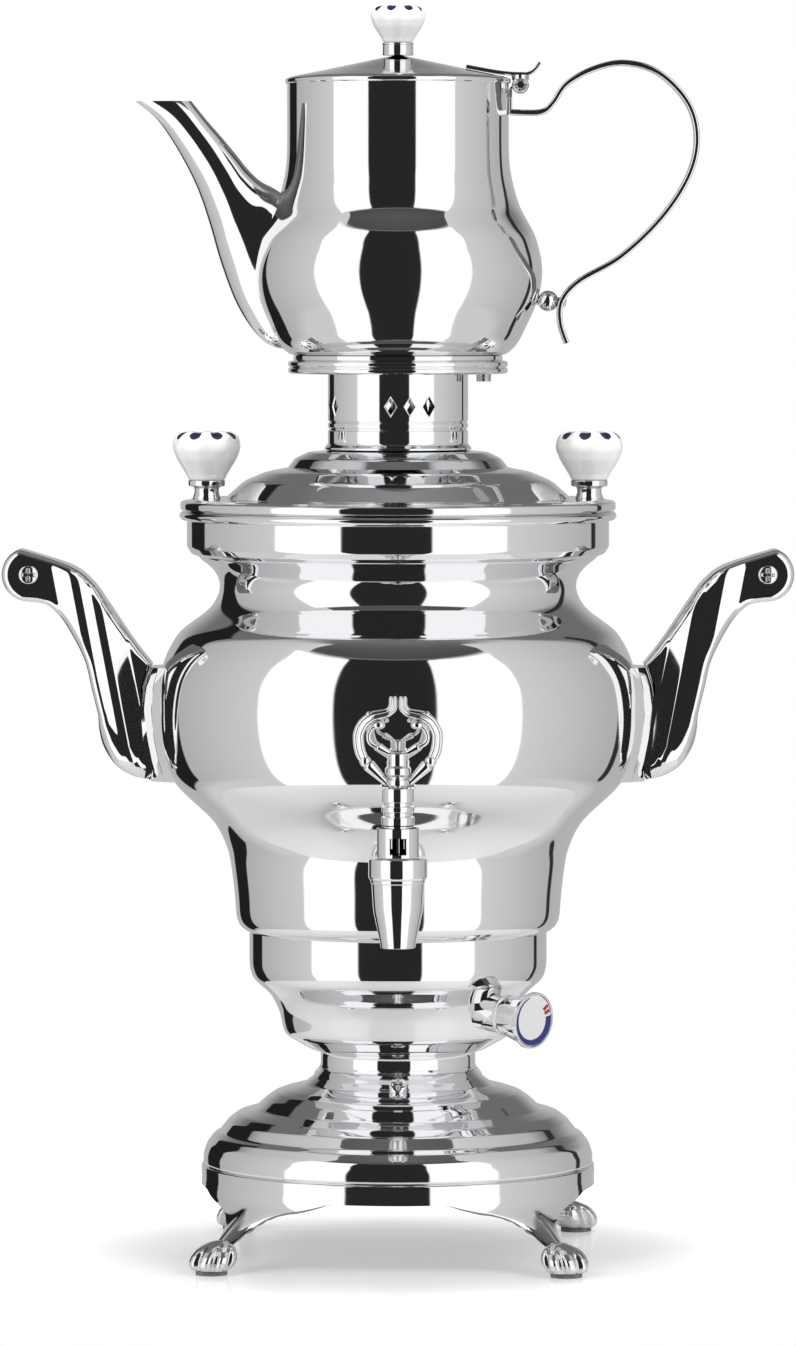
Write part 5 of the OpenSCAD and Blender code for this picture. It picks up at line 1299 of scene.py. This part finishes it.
class SAMOVAR_OT_teapot(bpy.types.Operator):
    """Builds the teapot: body, foot, spout, strap handle with its ball, and the hinge's plate"""

    bl_idname = "samovar.teapot"
    bl_label = "Teapot"

    def execute(self, context):
        wall_mm = context.scene.samovar_sizes.wall
        body = softened(spline(POT_KNOTS), 1.2, 1.0)
        body[0, 0] = 0
        piece("pot_body", [lathe(wall(body, wall_mm))], ["teapot_body"], "teapot")
        foot = lathe(rounded(lifted(POT_FOOT, Z_POT), 4, True))
        piece("pot_foot", [foot], ["teapot_foot"], "teapot")
        nose = spout(body[40:], 5.0, 13.0, wall_mm)
        piece("pot_spout", [nose], ["teapot_spout"], "teapot", crease=50)
        line = evenly(spline(np.array(STRAP_LINE) + [POT_NECK_R, Z_RIM]), 200)
        strap = sweep(in_plane(line), rounded_bar(2.3, 11.0, 0.75))
        piece("pot_handle", [strap], ["teapot_handle"], "teapot", crease=60)
        end = BALL_D / 2 + 2
        screw = dense(rounded([(1.5, -9), (1.5, end), (2.4, end, 0.2), (2.4, end + 0.8, 0.5),
                               (0.01, end + 1.4)], 5), 0.6)
        fixing = [ball((BALL_X + 0.05, 0, BALL_Z), [BALL_D / 2 - 0.05] * 3, 40, 64),
                  aimed(solid(screw, 48), (BALL_X, 0, BALL_Z), (1, 0, 0))]
        piece("handle_bead", fixing, ["handle_ball"], "teapot", crease=50)
        plate = evenly(rounded([(44.9, 456.4), (44.9, 466.9, 1.0), (HINGE_X, HINGE_Z)], 6), 40)
        width = np.interp(np.linspace(0, 1, 40), [0, 0.45, 0.58, 0.7, 1],
                          [11.0, 9.5, 5.0, 2.2, 2.2])
        shape = rounded_bar(1.2, 8.0, 0.4) * np.stack([np.ones(40), width / 8], 1)[:, None]
        piece("hinge_plate", [sweep(in_plane(plate), shape)], ["hinge_bracket"], "teapot")
        return {"FINISHED"}


class SAMOVAR_OT_teapot_lid(bpy.types.Operator):
    """Builds the teapot's lid with its arm and hinge cheeks, its porcelain knob and the knob's
    stem"""

    bl_idname = "samovar.teapot_lid"
    bl_label = "Teapot lid"

    def execute(self, context):
        cover, plug, arm = (lifted(path, Z_RIM) for path in (COVER_PATH, PLUG_PATH, ARM_LINE))
        block = solid(np.array([(3.2, 1.9), (3.5, 2.3), (3.5, 4.0)]), 64)
        lid = [lathe(wall(dense(rounded(cover), 0.9), 1.0)), lathe(np.array(plug)),
               sweep(in_plane(evenly(spline(arm), 80)), rounded_bar(1.5, 5.6, 0.5)),
               shifted((block[0] * [1, 1.3, 1], block[1]), HINGE_X, 0, HINGE_Z)]
        lid += [ball((HINGE_X, y, HINGE_Z), (3.4, 1.8, 3.4)) for y in (-3.0, 3.0)]
        piece("pot_cover", lid, ["teapot_lid"], "teapot_lid")
        stem_top = Z_POT_LID + POT_STEM[-1][1]
        porcelain_knobs("pot_porcelain", [(0, 28)], POT_KNOB_R, POT_KNOB_H, stem_top, "pot_knob",
                        "teapot_lid")
        stem = shifted(ferrule(POT_STEM), z=Z_POT_LID)
        piece("pot_knob_stem", [stem], ["pot_knob_ferrule"], "teapot_lid")
        return {"FINISHED"}


# ---- Solids of the frame that keep their shape ----

FRAME_FINISHES = {
    "steel": ("bottom_plate", "tie_rod", "tie_nut", "tank_floor", "heater_plate", "sensor_bulb",
              "handle_bolts", "thermostat_shaft", "lid_studs", "lid_nuts", "ring_tab",
              "pot_knob_stud"),
    "chrome": ("thermostat_collar", "hinge_pin", "tap_rod"),
    "element_sheath": ("heating_element",),
    "brass": ("tap_nut",),
    "steatite": ("terminal_block",),
    "moulding": ("thermal_cutout", "thermostat_body"),
    "gland_plastic": ("cord_gland", "gland_nut"),
    "rubber": ("foot_pads", "tap_seal"),
}


class SAMOVAR_OT_frame_finishes(bpy.types.Operator):
    """Gives the frame's own solids their finishes"""

    bl_idname = "samovar.frame_finishes"
    bl_label = "Inner parts"

    def execute(self, context):
        for finish, nodes in FRAME_FINISHES.items():
            for node in nodes:
                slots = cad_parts[node].data.materials
                slots.clear()
                slots.append(material(finish))
        return {"FINISHED"}


# ---- Studio ----

FLOOR_R = 0.27
# Softboxes as seen from the samovar: (first, last azimuth right of the camera, lowest, highest
# elevation)
SOFTBOXES = ((-70.5, -31.0, -82.0, 50.0), (18.5, 61.5, -82.0, 50.0))
# Dark strips between and behind them, with their brightness
STRIPS = (((-36.0, 26.0, -82.0, 51.0), 0.022), ((-154.0, -131.0, -25.0, 40.0), 0.015),
          ((131.0, 137.0, -25.0, 40.0), 0.03))
# Name, place, size in metres and power in watts
LAMPS = (
    ("lamp_left", (-1.3, -1.2, 1.5), 1.0, 25.0),
    ("lamp_right", (1.4, -1.0, 1.4), 1.0, 22.0),
    ("lamp_top", (0.0, 0.2, 2.2), 1.6, 26.0),
    ("lamp_back", (0.5, 1.6, 1.3), 1.0, 16.0),
)
# Where the lamps point, the camera's height and aim, and its focal length in millimetres
LAMP_AIM, CAMERA_Z, CAMERA_AIM, LENS = (0, 0, 0.25), 0.3824, (0, 0, 0.2332), 190.56


def box_mask(graph, azimuth, elevation, bounds, corner=2.0, edge=0.8):
    """One inside a rectangle with rounded corners in azimuth and elevation, and nought outside
    it."""
    parts = []
    for value, low, high in ((azimuth, *bounds[:2]), (elevation, *bounds[2:])):
        off = graph.math("ABSOLUTE", graph.math("SUBTRACT", value, (low + high) / 2))
        off = graph.math("SUBTRACT", off, (high - low) / 2 - corner)
        parts.append(graph.math("MAXIMUM", off, 0.0))
    squares = graph.math("ADD", *[graph.math("MULTIPLY", part, part) for part in parts])
    return graph.ranged(graph.math("SQRT", squares), corner - edge, corner + edge, 1.0, 0.0, True)


def studio_world(finish):
    """Surroundings by direction: a dim gap between two softboxes in front, pale walls, a dim
    ceiling."""
    world = bpy.data.worlds.new("studio")
    world.use_nodes = True
    graph = Graph(world.node_tree)
    ray = graph.add("SeparateXYZ", {0: graph.add("TexCoord").outputs["Generated"]})
    x, y, z = ray.outputs
    degree = 180 / math.pi
    front = graph.math("MULTIPLY", y, -1.0)
    azimuth = graph.math("MULTIPLY", graph.math("ARCTAN2", x, front), degree)
    elevation = graph.math("MULTIPLY", graph.math("ARCSINE", z), degree)
    level, ceiling = finish.surround, finish.ceiling
    away = graph.math("ABSOLUTE", graph.math("ADD", azimuth, 1.0))
    # The walls end higher at the sides than above the softboxes, and low behind the samovar
    brim = graph.blend(graph.ranged(away, 60.0, 61.5), 51.0, 66.0)
    brim = graph.blend(graph.ranged(away, 108.0, 136.0), brim, 16.0)
    soft = graph.ranged(away, 60.0, 110.0, 1.2, 11.0)
    above = graph.math("DIVIDE", graph.math("SUBTRACT", elevation, brim), soft)
    overhead = graph.math("ADD", graph.ranged(away, 55.0, 120.0, ceiling * 0.5, ceiling * 1.1),
                          graph.ranged(elevation, 52.0, 88.0, 0.0, ceiling * 0.8))
    walls = graph.math("MAXIMUM", graph.ranged(away, 62.0, 125.0, level * 1.36, level * 0.94),
                       graph.ranged(elevation, -34.0, -8.0, level * 1.3, 0.0))
    value = graph.blend(graph.ranged(above, -1.0, 1.0, 0.0, 1.0, True), walls, overhead)
    for bounds, brightness in STRIPS + tuple((bounds, finish.softbox) for bounds in SOFTBOXES):
        value = graph.blend(box_mask(graph, azimuth, elevation, bounds), value, brightness)
    value = graph.blend(graph.add("LightPath").outputs["Is Camera Ray"], value, 1.0)
    shade = graph.add("Background", {"Color": (1, 1, 1, 1), "Strength": value})
    graph.add("OutputWorld", {"Surface": shade.outputs[0]})
    bpy.context.scene.world = world


def floor_finish():
    """Pale matt table top. The camera and reflections see it lifted towards white; its shadows
    stay. For the camera the lift is smaller near the middle, which paints shade round the samovar's
    base."""
    made = bpy.data.materials.new("studio_floor")
    made.use_nodes = True
    graph = Graph(made.node_tree)
    shader = graph.add("BsdfPrincipled", {"Base Color": (0.48, 0.48, 0.48, 1), "Roughness": 0.16})
    path = graph.add("LightPath").outputs
    middle = graph.add("TexCoord").outputs["Object"]
    away = graph.add("VectorMath", {0: middle}, operation="LENGTH").outputs["Value"]
    # Painted shade: the camera's lift is smallest near the middle, so the floor looks darker round
    # the base
    lift_with_painted_shade = graph.ranged(away, 0.08, FLOOR_R - 0.06, 0.27, 1.0, True)
    lift = graph.math("MULTIPLY", path["Is Camera Ray"], lift_with_painted_shade)
    for kind, share in (("Is Glossy Ray", 0.10), ("Is Transmission Ray", 0.22)):
        lift = graph.math("ADD", lift, graph.math("MULTIPLY", path[kind], share))
    glow = graph.add("Emission", {"Color": (1, 1, 1, 1), "Strength": lift})
    both = graph.add("AddShader", {0: shader.outputs[0], 1: glow.outputs[0]})
    graph.add("OutputMaterial", {"Surface": both.outputs[0]})
    return made


def placed(name, data, place, aim):
    """An object at a place, with its own -Z towards the aim."""
    made = bpy.data.objects.new(name, data)
    made.location = place
    made.rotation_euler = (Vector(aim) - Vector(place)).to_track_quat("-Z", "Y").to_euler()
    bpy.context.scene.collection.objects.link(made)
    return made


class SAMOVAR_OT_studio(bpy.types.Operator):
    """Sets up the floor, the surroundings, the lamps and the camera"""

    bl_idname = "samovar.studio"
    bl_label = "Studio"

    def execute(self, context):
        scene = context.scene
        points = around(FLOOR_R, ring_points(128), 0.0)
        mesh = bpy.data.meshes.new("table_top")
        mesh.from_pydata(points.tolist(), [], [list(range(128))])
        floor = bpy.data.objects.new("table_top", mesh)
        floor.data.materials.append(floor_finish())
        scene.collection.objects.link(floor)
        studio_world(scene.samovar_finishes)
        for name, place, size, watts in LAMPS:
            light = bpy.data.lights.new(name, "AREA")
            light.shape, light.size, light.energy = "DISK", size, watts
            placed(name, light, place, LAMP_AIM).visible_glossy = False
        lens = bpy.data.cameras.new("camera")
        lens.sensor_width, lens.lens, lens.clip_end = 36, LENS, 50
        place = (0, -scene.samovar_sizes.camera_distance, CAMERA_Z)
        scene.camera = placed("camera", lens, place, CAMERA_AIM)
        scene.view_settings.view_transform = "Standard"
        return {"FINISHED"}


class SAMOVAR_PT_panel(bpy.types.Panel):
    """Lists the sizes, the finishes and the pieces"""

    bl_label = "Samovar"
    bl_idname = "SAMOVAR_PT_panel"
    bl_space_type = "VIEW_3D"
    bl_region_type = "UI"
    bl_category = "Samovar"

    def draw(self, context):
        layout = self.layout
        for group in (context.scene.samovar_sizes, context.scene.samovar_finishes):
            for name in group.__annotations__:
                layout.prop(group, name)
        for operator in OPERATORS:
            layout.operator(operator.bl_idname)


OPERATORS = (
    SAMOVAR_OT_studio,
    SAMOVAR_OT_base,
    SAMOVAR_OT_heater,
    SAMOVAR_OT_tank,
    SAMOVAR_OT_handles,
    SAMOVAR_OT_tap,
    SAMOVAR_OT_lid,
    SAMOVAR_OT_crown,
    SAMOVAR_OT_teapot,
    SAMOVAR_OT_teapot_lid,
    SAMOVAR_OT_frame_finishes,
)
CLASSES = (SamovarSizes, SamovarFinishes, *OPERATORS, SAMOVAR_PT_panel)


def register():
    for cls in CLASSES:
        bpy.utils.register_class(cls)
    bpy.types.Scene.samovar_sizes = bpy.props.PointerProperty(type=SamovarSizes)
    bpy.types.Scene.samovar_finishes = bpy.props.PointerProperty(type=SamovarFinishes)


def unregister():
    del bpy.types.Scene.samovar_finishes
    del bpy.types.Scene.samovar_sizes
    for cls in reversed(CLASSES):
        bpy.utils.unregister_class(cls)


def main():
    register()
    for operator in OPERATORS:
        group, name = operator.bl_idname.split(".")
        getattr(getattr(bpy.ops, group), name)()


if __name__ == "__main__":
    main()
